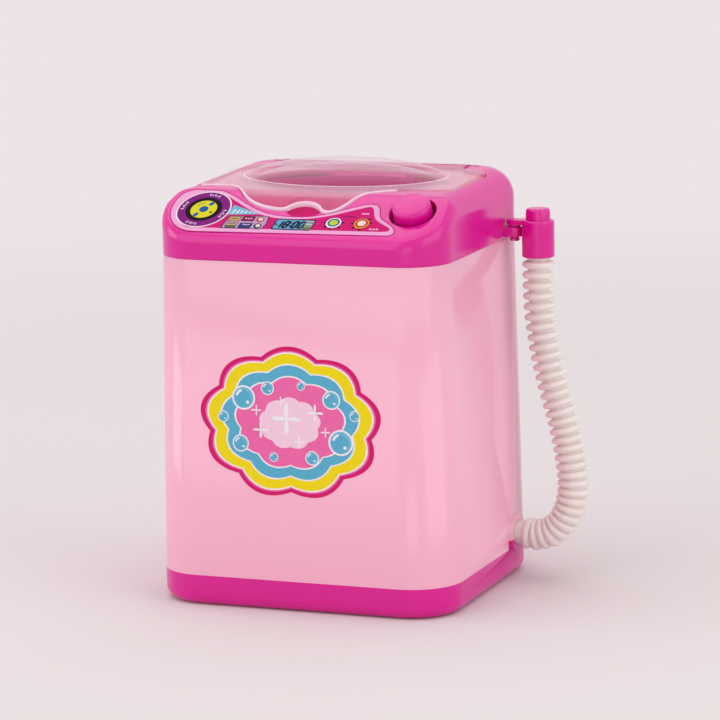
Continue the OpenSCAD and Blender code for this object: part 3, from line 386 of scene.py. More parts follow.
# The cap's shell: rings go from under the deck down the inner wall, round the seam, up the outer wall,
# over the rounding and across the deck
def capShell():
    loop, direction = roundedRectangle(cap["width"], cap["depth"], cap["corner"])
    rings = []

    # The outline moved in by the inset and drawn to the middle by the share
    def ring(inset, height, share=1.0):
        xy = (loop - direction * np.reshape(inset, (-1, 1))) * share
        rings.append(atHeight(xy, height(*xy.T) if callable(height) else height))

    # The surface's height, moved in by the wall and down by the deck's thickness
    def inner(x, y):
        return capHeight(x, y, wall, cap["inside"])

    wall, seam, core = cap["wall"], cap["seam"], cap["core"]
    innerRound = np.maximum(edgeRound(*loop.T) - wall, cap["leastRound"])
    for share in np.linspace(0.02, 1, 12):
        ring(core, inner, share)
    for turn in np.radians(np.linspace(90, 8, 8)):
        ring(wall + innerRound * (1 - math.cos(turn)), inner)
    innerTop = inner(*(loop - direction * wall).T)
    for share in (1, 0.5, 0):
        ring(wall, seam + (innerTop - seam) * share)
    for out, up in quarter(cap["seamEdge"], 3):
        ring(cap["seamEdge"] - out, seam + up)
    wallTop, wallFoot = capHeight(*loop.T), seam + cap["seamEdge"]
    for share in (0.25, 0.5, 0.75, 1):
        ring(0, wallFoot + (wallTop - wallFoot) * share)
    outerRound = edgeRound(*loop.T)
    for turn in np.radians(np.linspace(8, 90, 11)):
        ring(outerRound * (1 - math.cos(turn)), capHeight)
    for share in (0.25, 0.5, 0.75, 1):
        ring(outerRound + (core - outerRound) * share, capHeight)
    for share in np.linspace(0.96, 0.02, 22):
        ring(core, capHeight, share)
    return ringSolid("cap_shell", rings)


# What the cap carries: button's cup, collar, hinge block, screw columns, switch posts and the hose's lug
def capFittings():
    cupFoot, cupRadius = -button["depth"] - button["floor"], button["hole"] + button["cupWall"]
    cupTop = button["cupTop"]
    cup = [(axisGap, cupFoot), (cupRadius, cupFoot), (cupRadius, cupTop), (axisGap, cupTop + 0.2)]
    collar = ellipseLoop(tub["collarGap"])
    side = tongueHalf + hinge["beside"]
    added = [turned("cup", cup, onButton),
             ringSolid("collar", [atHeight(collar, z) for z in (tub["collarFoot"], tub["collarTop"])]),
             box("hingeBlock", (-side, hingeY - hinge["front"], hingeZ - hinge["below"]),
                 (side, hingeY + hinge["behind"], hinge["top"]))]
    for sx in (-1, 1):
        for sy in (-1, 1):
            x, y = sx * (cap["width"] / 2 - column["inX"]), sy * (cap["depth"] / 2 - column["inY"])
            top = float(topHeight(y)) - column["under"]
            added.append(rod("column", column["radius"], column["foot"], top, moved(x, y)))
            x, y = sx * tub["earX"], washY + sy * tub["earY"]
            top = float(topHeight(y)) - tub["earUnder"]
            added.append(rod("ear", column["radius"], tub["top"], top, moved(x, y)))
        added.append(rod("post", switch["postRadius"], -switch["top"], switch["postTop"],
                         panelPlace(button["u"] + sx * switch["postU"], button["v"])))
    half, root = lug["radius"], lug["root"]
    end = onEllipse(np.linspace(-np.pi / 2, np.pi / 2, 25), half) + [lug["x"], 0]
    ear = np.vstack([[(root, -half)], end, [(root, half)]]) + [0, lug["y"]]
    added.append(plate("lug", evenLoop(ear, 0.3, 3), lug["foot"], lug["foot"] + lug["thick"], lug["edge"]))
    return added


# What is cut: the lid's recess, wash opening, finger scoop, button's well, hinge trough and holes
def capCuts():
    # The top less the recess's depth
    def recessFloor(xy):
        return topHeight(xy[:, 1]) - lid["recess"]

    # The finished surface
    def surface(xy):
        return capHeight(*xy.T)

    outline = grown(evenLoop(lidOutline(), 0.5, 3), lid["slack"])
    opening = ellipseLoop(tub["collarGap"] + tub["collarWall"])
    side = tongueHalf + hinge["slack"]
    return [flaredPlug("recess", outline, recessFloor, surface, lid["flare"]),
            flaredPlug("opening", opening, lambda xy: tub["openingFoot"], recessFloor, tub["flare"]),
            panelPlug("scoop", scoop),
            panelPlug("well", button),
            rod("stemHole", switch["stemHole"], -8, 2, onButton),
            box("trough", (-side, hingeY - hinge["troughFront"], hingeZ - hinge["troughBelow"]),
                (side, hingeY + hinge["troughBehind"], cap["clear"])),
            rod("pinHole", hinge["pinHole"], -hinge["pinReach"], hinge["pinReach"], alongHinge, 24),
            rod("swingHole", lug["pinHole"], *lug["holeEnds"], onPin, 32)]


# The cap: its shell joined with its fittings, then cut
def makeCap():
    shell = capShell()
    combine(shell, capFittings(), "UNION")
    combine(shell, capCuts())
    return smoothed(shell, 32)


# Middle and normal of every face, in millimetres
def faceData(piece):
    values = []
    for name in ("center", "normal"):
        flat = np.empty(3 * len(piece.data.polygons))
        piece.data.polygons.foreach_get(name, flat)
        values.append(flat.reshape(-1, 3))
    return values[0] / millimetre, values[1]


# Limits of the faces that get the recess's painted shade
recessShadeMask = {"pastScoop": 1.5, "pastWell": 0.5, "least": 0.5, "slack": 0.2, "front": 8, "behind": 5.5,
        "inset": 4.6}


# Faces inside the recess under the lid and inside the finger scoop: the mould leaves them dull, and their
# darker colour is painted shade
def shadedRecessFaces(middle, _):
    x, y, z = middle.T
    depth = topHeight(y) - z
    alongPanel = (y - capFront) / math.cos(slope)
    nearScoop = np.hypot(x, alongPanel - scoop["v"]) < scoop["hole"] + recessShadeMask["pastScoop"]
    inScoop = nearScoop & (depth > recessShadeMask["least"])
    alongDeck = (y > foldY - recessShadeMask["front"]) & (y < hingeY - recessShadeMask["behind"])
    underLid = alongDeck & (depth > lid["recess"] - recessShadeMask["slack"])
    aboveDeckFoot = (z > tub["collarFoot"]) & (depth < cap["deck"] - recessShadeMask["least"])
    inside = aboveDeckFoot & (insetOf(x, y) > recessShadeMask["inset"])
    pastWell = np.hypot(x - button["u"], alongPanel - button["v"]) > button["hole"] + recessShadeMask["pastWell"]
    return (inScoop | underLid) & inside & pastWell


# The lid's rings go out under dome and plate, round the edge, and back over the top. The dome is an
# ellipsoid that swells out of the plate, eased where it meets the flat
def makeLid():
    loop = evenLoop(lidOutline(), 0.5, 2)
    middle = np.array([lid["domeX"], washY])
    high = lid["domeRise"] + lid["thick"]
    under = {"drop": lid["under"], "wall": lid["domeWall"], "high": high, "ease": lid["domeEase"][0]}
    over = {"drop": lid["under"] - lid["thick"], "wall": 0, "high": high - lid["domeSink"],
            "ease": lid["domeEase"][1]}

    # Plan points on one face of the plate, raised by the lift
    def ring(xy, face, lift):
        return atHeight(xy, topHeight(xy[:, 1]) - face["drop"] + lift)

    # The same with the dome's own rise: the root of one less the squared reach, eased into nought
    def domed(xy, face):
        a, b = lid["domeA"] - face["wall"], lid["domeB"] - face["wall"]
        reach = np.hypot((xy[:, 0] - middle[0]) / a, (xy[:, 1] - middle[1]) / b)
        swell = face["high"] * np.sqrt(np.maximum(1 - reach ** 2, 0)) - lid["thick"]
        swell -= lid["domeFall"] * np.maximum(reach - 1, 0)
        return ring(xy, face, (swell + np.sqrt(swell ** 2 + face["ease"] ** 2)) / 2)

    bearing = np.arctan2(loop[:, 1] - middle[1], loop[:, 0] - middle[0])
    turn = np.arctan2(lid["domeA"] * np.sin(bearing), lid["domeB"] * np.cos(bearing))
    foot = onEllipse(turn, lid["domeA"], lid["domeB"])
    shares = np.concatenate([np.sin(np.radians(np.linspace(2, 80, 34))), np.linspace(0.988, 1.04, 10)])
    plan = [middle + foot * share for share in shares]
    rim, border = plan[-1], grown(loop, -lid["border"])
    plan += [rim + (border - rim) * share for share in np.linspace(0.08, 1, 12)]
    plan.append(grown(loop, -lid["edge"]))
    edge = quarter(lid["edge"], 4)
    rings = [domed(xy, under) for xy in plan]
    rings += [ring(grown(loop, out - lid["edge"]), under, up) for out, up in edge[1:]]
    rings += [ring(grown(loop, out - lid["edge"]), over, -up) for out, up in edge[::-1]]
    rings += [domed(xy, over) for xy in plan[::-1]]
    barrel, pin, nick, end = lid["barrel"], lid["pin"], lid["chamfer"], tongueHalf + lid["pinLength"]
    profile = [(axisGap, -end), (pin - nick, -end), (pin, nick - end), (pin, -tongueHalf),
               (barrel - nick, -tongueHalf), (barrel, nick - tongueHalf)]
    profile += [(radius, -height) for radius, height in profile[::-1]]
    shell = combine(ringSolid("lid_shell", rings), [turned("barrel", profile, alongHinge, 40)], "UNION")
    return smoothed(shell, 32)


rimHighlight = {"within": 0.1, "front": 7, "side": 1, "facing": -0.5, "foot": (0.985, 1.008), "behind": 4}


# Faces along the border of the lid's front wave and at the dome's foot take a whitish, nearly solid colour: a
# painted highlight where the clear lid catches the light
def highlightFaces(middle, normal):
    x, y, z = middle.T
    loop = evenLoop(lidOutline(), 0.5, 2)
    near = np.hypot(*(middle[:, None, :2] - loop[None, :, :]).transpose(2, 0, 1)).min(1)
    front = (y < foldY + rimHighlight["front"]) & (np.abs(x) < lid["halfWidth"] - rimHighlight["side"])
    border = (near < lid["border"] - rimHighlight["within"]) & (normal[:, 2] > rimHighlight["facing"])
    reach = np.hypot((x - lid["domeX"]) / lid["domeA"], (y - washY) / lid["domeB"])
    least, most = rimHighlight["foot"]
    foot = (reach > least) & (reach < most) & (z > topHeight(y)) & (y < washY + rimHighlight["behind"])
    return border & front | foot


# The button: its stem, the inside of its skirt, a side that draws in a little, and a softly crowned top
def makeButton():
    edge, radius, stem, skirt, nick = pick(button, "edge radius stem skirt nick")
    under, crown, top, chamfer = pick(button, "underside crown rise stemNick")
    foot, inner, rim = -button["stemEnd"], radius - button["skirtWall"], radius - edge
    profile = [(axisGap, foot), (stem - chamfer, foot), (stem, foot + chamfer), (stem, under), (inner, under),
               (inner, -skirt), (radius - nick, -skirt), (radius, -skirt + nick)]
    profile += [(radius - inward, height) for inward, height in button["side"]]
    profile += [(rim - button["draft"] + out, top - crown - edge + up) for out, up in shoulder(edge, 8, 78)]
    profile += [(rim * share, top - crown * share * share) for share in (0.82, 0.6, 0.4, 0.2, 0.02)]
    return turned("button_cap", profile, onButton, sharpAngle=40)


spring = {"radius": 2.95, "wire": 0.25, "turns": 7, "flat": 0.75, "perTurn": 36, "around": 10,
          "top": 1.98, "clear": 0.02}


# The button's return spring: a wire carried round a helix whose end turns lie flat
def makeSpring():
    wire, flat = spring["wire"], spring["flat"] / spring["turns"]
    foot, top = spring["clear"] + wire - button["depth"], spring["top"] - wire
    share = np.linspace(0, 1, spring["turns"] * spring["perTurn"] + 1)[:, None]
    turn, about = 2 * np.pi * spring["turns"] * share, turns(spring["around"])
    height = foot + (top - foot) * np.clip((share - flat) / (1 - 2 * flat), 0, 1) - wire * np.sin(about)
    reach = spring["radius"] + wire * np.cos(about)
    rings = np.stack([reach * np.cos(turn), reach * np.sin(turn), height], -1)
    piece = ringSolid("coil_spring", onButton(rings.reshape(-1, 3)).reshape(rings.shape))
    dress(piece, None, "steel", "button_spring")
    ends = [tuple((onPanel(button["u"], button["v"], lift) * millimetre).tolist()) for lift in (foot, top)]
    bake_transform(piece)


arm = {"foot": 100.4, "thick": 2, "reach": 6.9, "pin": 1.2, "tip": 1.4, "socketRadius": 4.55,
       "socketFoot": 92, "bore": 3.55, "edge": 0.7, "bar": 1.5, "web": (3.4, 0.7, 1.8), "knuckle": 1.9,
       "hoseTop": 98.4, "plugRadius": 3.45, "plugRise": 3.3, "plugEdge": 0.9, "plugDraft": 0.08,
       "tenon": (5, 1.84), "nick": 0.2, "pinDrops": (1.2, 0.9, 0.4, 0.3), "tipNick": 0.3, "footNick": 0.25,
       "sink": 0.5, "slit": (0.3, 3)}
arm["top"] = arm["foot"] + arm["thick"]
arm["socketX"] = lug["x"] + arm["reach"]
onSocket = moved(arm["socketX"], lug["y"])


# The arm swings on its pin in the lug: a turned socket, joined by bar and web to a knuckle with a split pin
def makeArm():
    edge, radius, foot, top = pick(arm, "edge socketRadius socketFoot top")
    nick = arm["footNick"]
    socket = [(axisGap, foot), (radius - nick, foot), (radius, foot + nick), (radius, top - edge - 0.6)]
    socket += [(radius - edge + out, top - edge + up) for out, up in shoulder(edge, 6)] + [(axisGap, top)]
    (gap, side, drop), half, x, y = arm["web"], lug["radius"], arm["socketX"], lug["y"]
    arc = onEllipse(np.linspace(np.pi / 2, 1.5 * np.pi, 25), half) + [lug["x"], 0]
    bar = np.vstack([arc, [(x, -half), (x, half)]]) + [0, y]
    web = np.array([(lug["x"] + gap, y - side), (x, y - side), (x, y + side), (lug["x"] + gap, y + side)])
    tip, pin, knuckle, base, nick, sink = pick(arm, "tip pin knuckle foot nick sink")
    end, barbFoot, barbTop, neck = (lug["foot"] - drop for drop in arm["pinDrops"])
    pinProfile = [(axisGap, end), (tip - arm["tipNick"], end), (tip, barbFoot), (tip, barbTop), (pin, neck),
                  (pin, base + 1), (axisGap, base + 1)]
    knuckleProfile = [(axisGap, base), (knuckle - nick, base), (knuckle, base + nick), (knuckle, top - sink),
                      (axisGap, top - sink)]
    body = turned("arm_shell", socket, onSocket)
    added = [plate("bar", evenLoop(bar, 0.3, 2), top - arm["bar"], top, 0.4),
             plate("web", evenLoop(web, 0.3, 1), base - drop, top - 0.8, 0.2),
             turned("knuckle", knuckleProfile, onPin, 48),
             turned("pin", pinProfile, onPin, 40)]
    combine(body, added, "UNION")
    thin, reach = arm["slit"]
    slit = box("slit", (lug["x"] - thin, y - reach, lug["foot"] - reach),
               (lug["x"] + thin, y + reach, barbTop))
    combine(body, [rod("bore", arm["bore"], foot - 1, top + 1, onSocket), slit])
    return smoothed(body, 32)


# The plug: a tenon in the hose's bore, a body in the socket, and a head with a quarter-circle edge
def makePlug():
    radius, edge, foot, (length, tenon) = pick(arm, "plugRadius plugEdge hoseTop tenon")
    top = arm["top"] + arm["plugRise"]
    profile = [(axisGap, foot - length), (tenon - 0.2, foot - length), (tenon, foot - length + 0.2),
               (tenon, foot + 0.05), (radius, foot + 0.05), (radius, arm["top"] - 0.1),
               (radius, top - edge - 0.6)]
    profile += [(radius - edge - arm["plugDraft"] + out, top - edge + up) for out, up in shoulder(edge, 8)]
    return turned("plug_cap", profile + [(axisGap, top)], onSocket, 64)


hose = {"rib": 4.5, "roots": (2.8, 3.55), "neck": 3.45, "bore": 2.1, "ribs": 34, "topPitch": 3,
        "perRib": 14, "around": 40, "ribWidths": (0.37, 0.45), "socketCover": 7, "wallCover": 5.9,
        "boss": 44.5749, "inner": 40.8749, "outletZ": 12.7, "lead": (0.35, 0.1), "leadStep": 0.15,
        "tail": 0.3, "ribPowers": (2.6, 0.6), "lookAhead": 0.4}


# The hose's points in the plane through the swing pin, the same as for its solid
def hoseRoute():
    x, out = arm["socketX"], hose["boss"]
    return np.array([(x, arm["hoseTop"]), (x, 90), (x, 84), (x + 0.4, 76), (x + 1.8, 66), (x + 4, 56),
                     (x + 6.8, 46), (x + 8.8, 36), (x + 9.6, 27), (x + 8, 19.5), (x + 4, 14.2),
                     (x - 1.5, 12.4), (out + 2.2, hose["outletZ"]), (hose["inner"], hose["outletZ"])])


# A smooth curve through the points, each span a cubic set by its neighbours
def throughPoints(points, perSpan=24):
    ends = np.vstack([points[:1], points, points[-1:]])
    t = np.arange(perSpan)[:, None] / perSpan
    spans = []
    for a, b, c, d in zip(ends, ends[1:], ends[2:], ends[3:]):
        square, cube = 2 * a - 5 * b + 4 * c - d, 3 * b - a - 3 * c + d
        spans.append(0.5 * (2 * b + (c - a) * t + square * t ** 2 + cube * t ** 3))
    return np.vstack(spans + [points[-1:]])


# The hose: stations with a radius each are swept along the curve, out to the wall and back inside. Ribs
# stand a little closer towards the foot, each a rounded disc with a narrow groove on either side
def makeHose():
    line = throughPoints(hoseRoute())
    run = np.concatenate([[0], np.cumsum(np.linalg.norm(np.diff(line, axis=0), axis=1))])
    length, ribs, neck = run[-1], hose["ribs"], hose["neck"]
    first, last = hose["socketCover"], length - hose["wallCover"]
    phase = np.arange(hose["perRib"]) / hose["perRib"]
    share = (np.arange(ribs)[:, None] + phase) / ribs
    reach = last - first
    along = first + reach * share + (hose["topPitch"] - reach / ribs) * ribs * share * (1 - share)
    root, width = (np.interp(share, (0.3, 1), ends) for ends in pick(hose, "roots ribWidths"))
    flank, crest = hose["ribPowers"]
    swell = np.clip(1 - np.abs((phase - 0.5) / width) ** flank, 0, 1) ** crest
    ribRadii = root + (hose["rib"] - root) * swell
    lead, step = [first - before for before in hose["lead"]], neck - hose["leadStep"]
    stations = np.concatenate([[0, *lead], along.ravel(), [last, last + hose["tail"], length]])
    radii = np.concatenate([[neck, neck, step], ribRadii.ravel(), [hose["roots"][1], neck, neck]])

    # Points of the curve at the stations
    def onLine(stations):
        return np.stack([np.interp(stations, run, line[:, k]) for k in (0, 1)], 1)

    look = hose["lookAhead"]
    centre, ahead = onLine(stations), onLine(stations + look) - onLine(stations - look)
    ahead /= np.linalg.norm(ahead, axis=1)[:, None]
    turn = turns(hose["around"])

    # A circle about each station, square to the curve
    def tube(radii):
        side = radii[:, None] * np.cos(turn)
        y = lug["y"] - radii[:, None] * np.sin(turn)
        return np.stack([centre[:, :1] - side * ahead[:, 1:], y, centre[:, 1:] + side * ahead[:, :1]], -1)

    rings = np.concatenate([tube(radii), tube(np.full(len(radii), hose["bore"]))[::-1]])
    piece = ringSolid("ribbed_hose", rings, joined=True, sharpAngle=50)
    print(f"hose {length:.1f} mm long")
    return piece


hosePiece = makeHose()
print("hose swept")

# Printed inks, as the colours they show, and one colour of painted shadow
inks = {"pinkRim": (255, 180, 226), "field": (222, 26, 122), "white": (250, 246, 250),
        "purple": (140, 30, 134), "black": (22, 10, 26), "yellow": (236, 226, 40), "blue": (28, 98, 172),
        "sky": (122, 196, 224), "navy": (22, 36, 70), "beige": (206, 188, 148), "wine": (150, 20, 92),
        "lilac": (206, 160, 206), "slate": (58, 66, 124), "display": (110, 176, 208),
        "olive": (150, 160, 110), "red": (206, 34, 44), "cream": (252, 232, 214),
        "orange": (242, 160, 60), "lime": (206, 222, 50), "brown": (120, 60, 30), "tan": (214, 172, 108),
        "moss": (104, 122, 52), "rust": (196, 70, 34), "silver": (196, 204, 200),
        # The dark rim colour below is no ink: it paints the shadow of the recess wall round the film's edge
        "rimPaintedShadow": (196, 22, 124), "deepMagenta": (222, 30, 116), "turquoise": (96, 182, 214),
        "candy": (246, 112, 176), "glow": (255, 214, 234), "lemon": (250, 226, 26)}


# Linear light from shown colour: a short straight run, then the power 2.4
def linear(red, green, blue):
    share = np.array([red, green, blue]) / 255
    return np.where(share <= 0.04045, share / 12.92, ((share + 0.055) / 1.055) ** 2.4)


# Printed art: flat closed shapes laid over each other, each a step higher, in one mesh coloured by point
class Print:
    # The shapes' common foot, the height of the first level and the step to the next, and where they lie
    def __init__(self, sheet, place):
        self.foot, self.first, self.step, self.place = sheet["foot"], sheet["ink"], sheet["step"], place
        self.points, self.faces, self.colours = [], [], []
        self.count = 0

    # One flat shape, as a thin closed slab from the foot up to its own level
    def shape(self, loop, ink, level):
        loop = np.asarray(loop, float)
        ahead = np.roll(loop, -1, 0)
        if np.sum(loop[:, 0] * ahead[:, 1] - ahead[:, 0] * loop[:, 1]) < 0:
            loop = loop[::-1]
        n = len(loop)
        for height in (self.foot, self.first + self.step * level):
            self.points.append(self.place(atHeight(loop, height)))
        here = np.arange(n) + self.count
        beside = np.roll(here, -1)
        self.faces += np.stack([here, beside, beside + n, here + n], 1).tolist()
        self.faces += [here[::-1].tolist(), (here + n).tolist()]
        self.colours.append(np.tile([*linear(*inks[ink]), 1.0], (2 * n, 1)))
        self.count += 2 * n

    # A round spot
    def disc(self, x, y, radius, ink, level, count=40):
        self.shape(onEllipse(turns(count), radius) + [x, y], ink, level)

    # Part of a ring between two angles in degrees
    def band(self, x, y, inner, outer, start, end, ink, level):
        arc = onEllipse(np.radians(np.linspace(start, end, max(3, int(abs(end - start) / 6)))))
        self.shape(np.vstack([arc * outer, arc[::-1] * inner]) + [x, y], ink, level)

    # A box with rounded corners that leans with its height, as a slanted print does
    def block(self, x, y, wide, high, ink, level, lean=0.0, corner=0.25):
        loop, _ = roundedRectangle(wide, high, corner, 1, 4)
        loop[:, 0] += lean * loop[:, 1]
        self.shape(loop + [x, y], ink, level)

    # A straight line with square ends: half its width to either side
    def stroke(self, start, end, width, ink, level):
        start, end = np.array(start, float), np.array(end, float)
        side = np.array([start[1] - end[1], end[0] - start[0]])
        side = side / np.linalg.norm(side) * width / 2
        self.shape(np.array([start - side, end - side, end + side, start + side]), ink, level)

    # The mesh of all shapes, coloured
    def done(self, name):
        piece = meshPiece(name, np.vstack(self.points), self.faces, 20)
        colour = piece.data.color_attributes.new("ink", "FLOAT_COLOR", "POINT")
        colour.data.foreach_set("color", np.vstack(self.colours).ravel())
        return piece


film = {"dialU": -29.2, "dialV": 11.4, "foot": -0.35, "ink": 0.05, "step": 0.012, "lean": 0.12,
        "line": 0.3}
# The strokes of a number, each from one place to another in a box one wide and one high
segments = {"a": ((0, 1), (1, 1)), "b": ((1, 1), (1, 0.5)), "c": ((1, 0.5), (1, 0)), "d": ((1, 0), (0, 0)),
            "e": ((0, 0), (0, 0.5)), "f": ((0, 0.5), (0, 1)), "g": ((0, 0.5), (1, 0.5))}
digits = {"1": "bc", "8": "abcdefg", "0": "abcdef"}


# The film's own edge: round the dial, over the finger scoop, up to the button and back along the ridge
def filmOutline():
    return np.vstack([bezier([-29, 1.6], [-34.6, 1.6], [-38.7, 6.2], [-39.1, 12], 20),
                      bezier([-39.1, 12.4], [-39.2, 17], [-37.6, 20.1], [-33.4, 20.1], 20),
                      [[-27.4, 20.1]],
                      bezier([-26.4, 20], [-19.5, 17.6], [-14.5, 9.9], [-3, 9.7], 24),
                      bezier([-1, 9.7], [6.6, 9.8], [10, 13.2], [16.8, 15.9], 24),
                      bezier([17.6, 16.1], [23.6, 17.2], [20.8, 11.4], [24.6, 9.2], 16),
                      bezier([25.2, 8.8], [28.6, 6.6], [31, 2.9], [26.6, 2.6], 16)])[::-1]


# The deep pink field inside the film's pale rim, from the dial to the right-hand point
def fieldOutline():
    return np.vstack([[[-31.5, 3.4], [-33.6, 4.6], [-31, 10], [-26, 18.3], [-24.4, 17.8]],
                      bezier([-23.7, 17.3], [-17.6, 13.2], [-12.5, 8.6], [-4, 8.5], 24),
                      bezier([-2, 8.5], [6.6, 8.8], [9.6, 11.2], [17.9, 14.8], 24),
                      bezier([18.5, 15], [20.6, 15.2], [20, 10.8], [22.8, 8.7], 16),
                      bezier([23.4, 8.3], [25.4, 7], [30, 4.8], [25.2, 4.4], 16)])[::-1]


# A small lamp: rings of colour about an off-centre middle, with short dark marks round it
def indicator(art, u, v, colours, marks):
    for way in onEllipse(np.radians(marks)):
        art.stroke([u, v] + way * 2.2, [u, v] + way * 3.0, 0.55, "black", 3)
    outer, middle, inner = colours
    for radius, rise, ink, level in ((2.36, 0, "black", 3), (2.2, 0, outer, 4), (1.72, 0.12, middle, 5),
                                     (1.2, 0.1, inner, 6)):
        art.disc(u, v + rise, radius, ink, level)


# The panel's film, from its rim and field to the dial, the boxes, the display and the lamps
def makeFilm():
    outline = evenLoop(filmOutline(), 0.45, 2)
    art = Print(film, panelPlace(0, 0))
    # A thin dark ring round the film's edge, under the pale rim, is painted shadow of the recess wall
    art.shape(outline, "rimPaintedShadow", 0)
    art.shape(grown(outline, -film["line"]), "pinkRim", 1)
    art.shape(evenLoop(fieldOutline(), 0.4, 2), "field", 2)
    u, v, lean = film["dialU"], film["dialV"], film["lean"]
    dial = ((7.9, "white", 3), (7.5, "purple", 4), (5.2, "black", 5), (3.8, "yellow", 6))
    for radius, ink, level in dial:
        art.disc(u, v, radius, ink, level, 72)
    # Plain tick marks round the dial in four groups, where the toy's dial is lettered
    for group in (78, 168, 255, 345):
        for k in range(-2, 3):
            angle = group + 6.5 * k
            art.band(u, v, 6.0, 6.85 if k % 2 == 0 else 6.5, angle - 1.3, angle + 1.3, "white", 5)
    for way in (1, -1):
        art.stroke((u + 1.15 * way, v + 1.75 * way), (u + 1.95 * way, v + 3.15 * way), 1.15, "blue", 7)
    art.disc(u, v, 1.3, "blue", 8)
    art.band(u, v, 2.5, 2.85, 95, 150, "olive", 7)
    art.disc(u + 2.5, v - 1.2, 0.42, "brown", 7, 20)
    # The light blue corner and the sheet of boxes under it
    art.shape([(-20.9, 13.7), (-11.9, 10.1), (-21.5, 9.5)], "sky", 3)
    for k in range(6):
        art.block(-20.0 + 1.2 * k, 10.9 - 0.06 * k, 0.45, 1.9 - 0.28 * k, "white", 4, 0.35, 0.1)
    edging = [(-21.7, 3.5), (-9.4, 3.6), (-8.6, 6.2), (-8.9, 9.3), (-20.6, 9.1)]
    sheet = [(-21.3, 3.7), (-9.6, 3.8), (-8.9, 6.2), (-9.2, 9.1), (-20.4, 8.9)]
    for points, ink, level in ((edging, "navy", 3), (sheet, "lilac", 4)):
        art.shape(evenLoop(np.array(points), 0.3, 2), ink, level)
    for x, y, wide, high, ink in ((-18.7, 7.75, 3.5, 2.1, "tan"), (-18.9, 5.45, 3.3, 1.5, "beige"),
                                  (-18.9, 4.2, 3.2, 0.85, "moss"), (-14.7, 7.9, 3.7, 2.1, "wine"),
                                  (-14.7, 4.95, 3.7, 2.3, "slate")):
        art.block(x, y, wide, high, "black", 5, lean, 0.2)
        art.block(x, y, wide - 0.3, high - 0.36, ink, 6, lean, 0.2)
    for x, y, wide, ink in ((-18.7, 7.75, 2.3, "brown"), (-18.9, 5.5, 2.2, "brown"),
                            (-14.6, 7.95, 2.3, "glow"), (-14.6, 5.3, 2.2, "glow")):
        for k in (-1, 0, 1):
            art.block(x + k * wide / 3, y + 0.12 * abs(k), wide / 4.2, 0.42, ink, 7, lean, 0.1)
    for x, y, ink in ((-11.15, 7.75, "rust"), (-11.05, 4.95, "navy")):
        art.disc(x, y, 1.12, ink, 5)
        art.disc(x + 0.08, y + 0.12, 0.68, "cream", 6)
    # The display, with plain numbers in seven strokes
    art.block(-0.85, 6.1, 11.6, 4.7, "navy", 3, lean, 0.6)
    art.block(-0.85, 6.1, 10.9, 3.9, "display", 4, lean, 0.5)
    art.block(3.35, 5.1, 2.5, 1.9, "olive", 5, lean, 0.2)
    art.block(3.4, 7.1, 2.5, 1.8, "silver", 5, lean, 0.2)
    for k in (-1, 0, 1):
        art.block(3.45 + 0.8 * k, 7.1, 0.5, 0.55, "navy", 6, lean, 0.1)
        art.block(3.3 + 0.8 * k, 4.75, 0.5, 0.5, "navy", 6, lean, 0.1)
    wide, high, foot = 1.15, 2.6, 4.75
    art.stroke((-6.3, 6.05), (-5.5, 6.05), 0.5, "navy", 5)
    for x, digit in zip((-5.9, -3.9, -1.35, 0.6), "1800"):
        for name in digits[digit]:
            ends = [(x + a * wide + 0.28 * b * high, foot + b * high) for a, b in segments[name]]
            art.stroke(*ends, 0.68, "navy", 5)
    for rise in (0.75, 1.85):
        art.disc(-2.05 + 0.28 * rise, foot + rise, 0.28, "navy", 5, 14)
    indicator(art, 10.35, 7.45, ("white", "blue", "lime"), (176, 222, 268, 318, 5))
    indicator(art, 18.4, 7.6, ("orange", "red", "cream"), (182, 226, 272, 50, 8))
    art.band(14.2, 0.9, 9.35, 9.75, 104, 78, "wine", 3)
    for k in range(3):
        art.block(17.45 + 0.75 * k, 11.85, 0.5, 0.6, "glow", 3, lean, 0.1)
        art.block(21.6 + 0.95 * k, 5.35, 0.65, 0.55, "glow", 3, lean, 0.1)
    return art.done("printed_film")


badge = {"x": -0.8, "z": 52.9, "a": 26.7, "b": 21.2, "lobes": 9, "depth": 0.1, "foot": -0.1, "ink": 0.06,
         "step": 0.014, "wallFront": -38.85, "wallFoot": 8.7, "lean": 1.2 / 88}


# An ellipse whose edge swells in round lobes: the cosine's size between one notch and the next
def cloud(scale, count=180):
    turn = turns(count)
    wave = 1 - badge["depth"] * (1 - np.abs(np.cos(badge["lobes"] * (turn - np.pi / 2) / 2)))
    return scale * onEllipse(turn, badge["a"] * wave, badge["b"] * wave)


# A star with four narrow points: the fifth power of the cosine of twice the turn
def sparkle(size, x, y):
    turn = turns(32)
    return onEllipse(turn, size * (0.13 + 0.87 * np.abs(np.cos(2 * turn)) ** 5)) + [x, y]


# Points of the badge laid on the front wall, which leans back
def onWall(points):
    tilt = math.atan(badge["lean"])
    z = badge["z"] + points[:, 1] * math.cos(tilt) + points[:, 2] * math.sin(tilt)
    y = badge["wallFront"] + (badge["z"] + points[:, 1] - badge["wallFoot"]) * badge["lean"] - points[:, 2]
    return np.stack([badge["x"] + points[:, 0], y, z], 1)


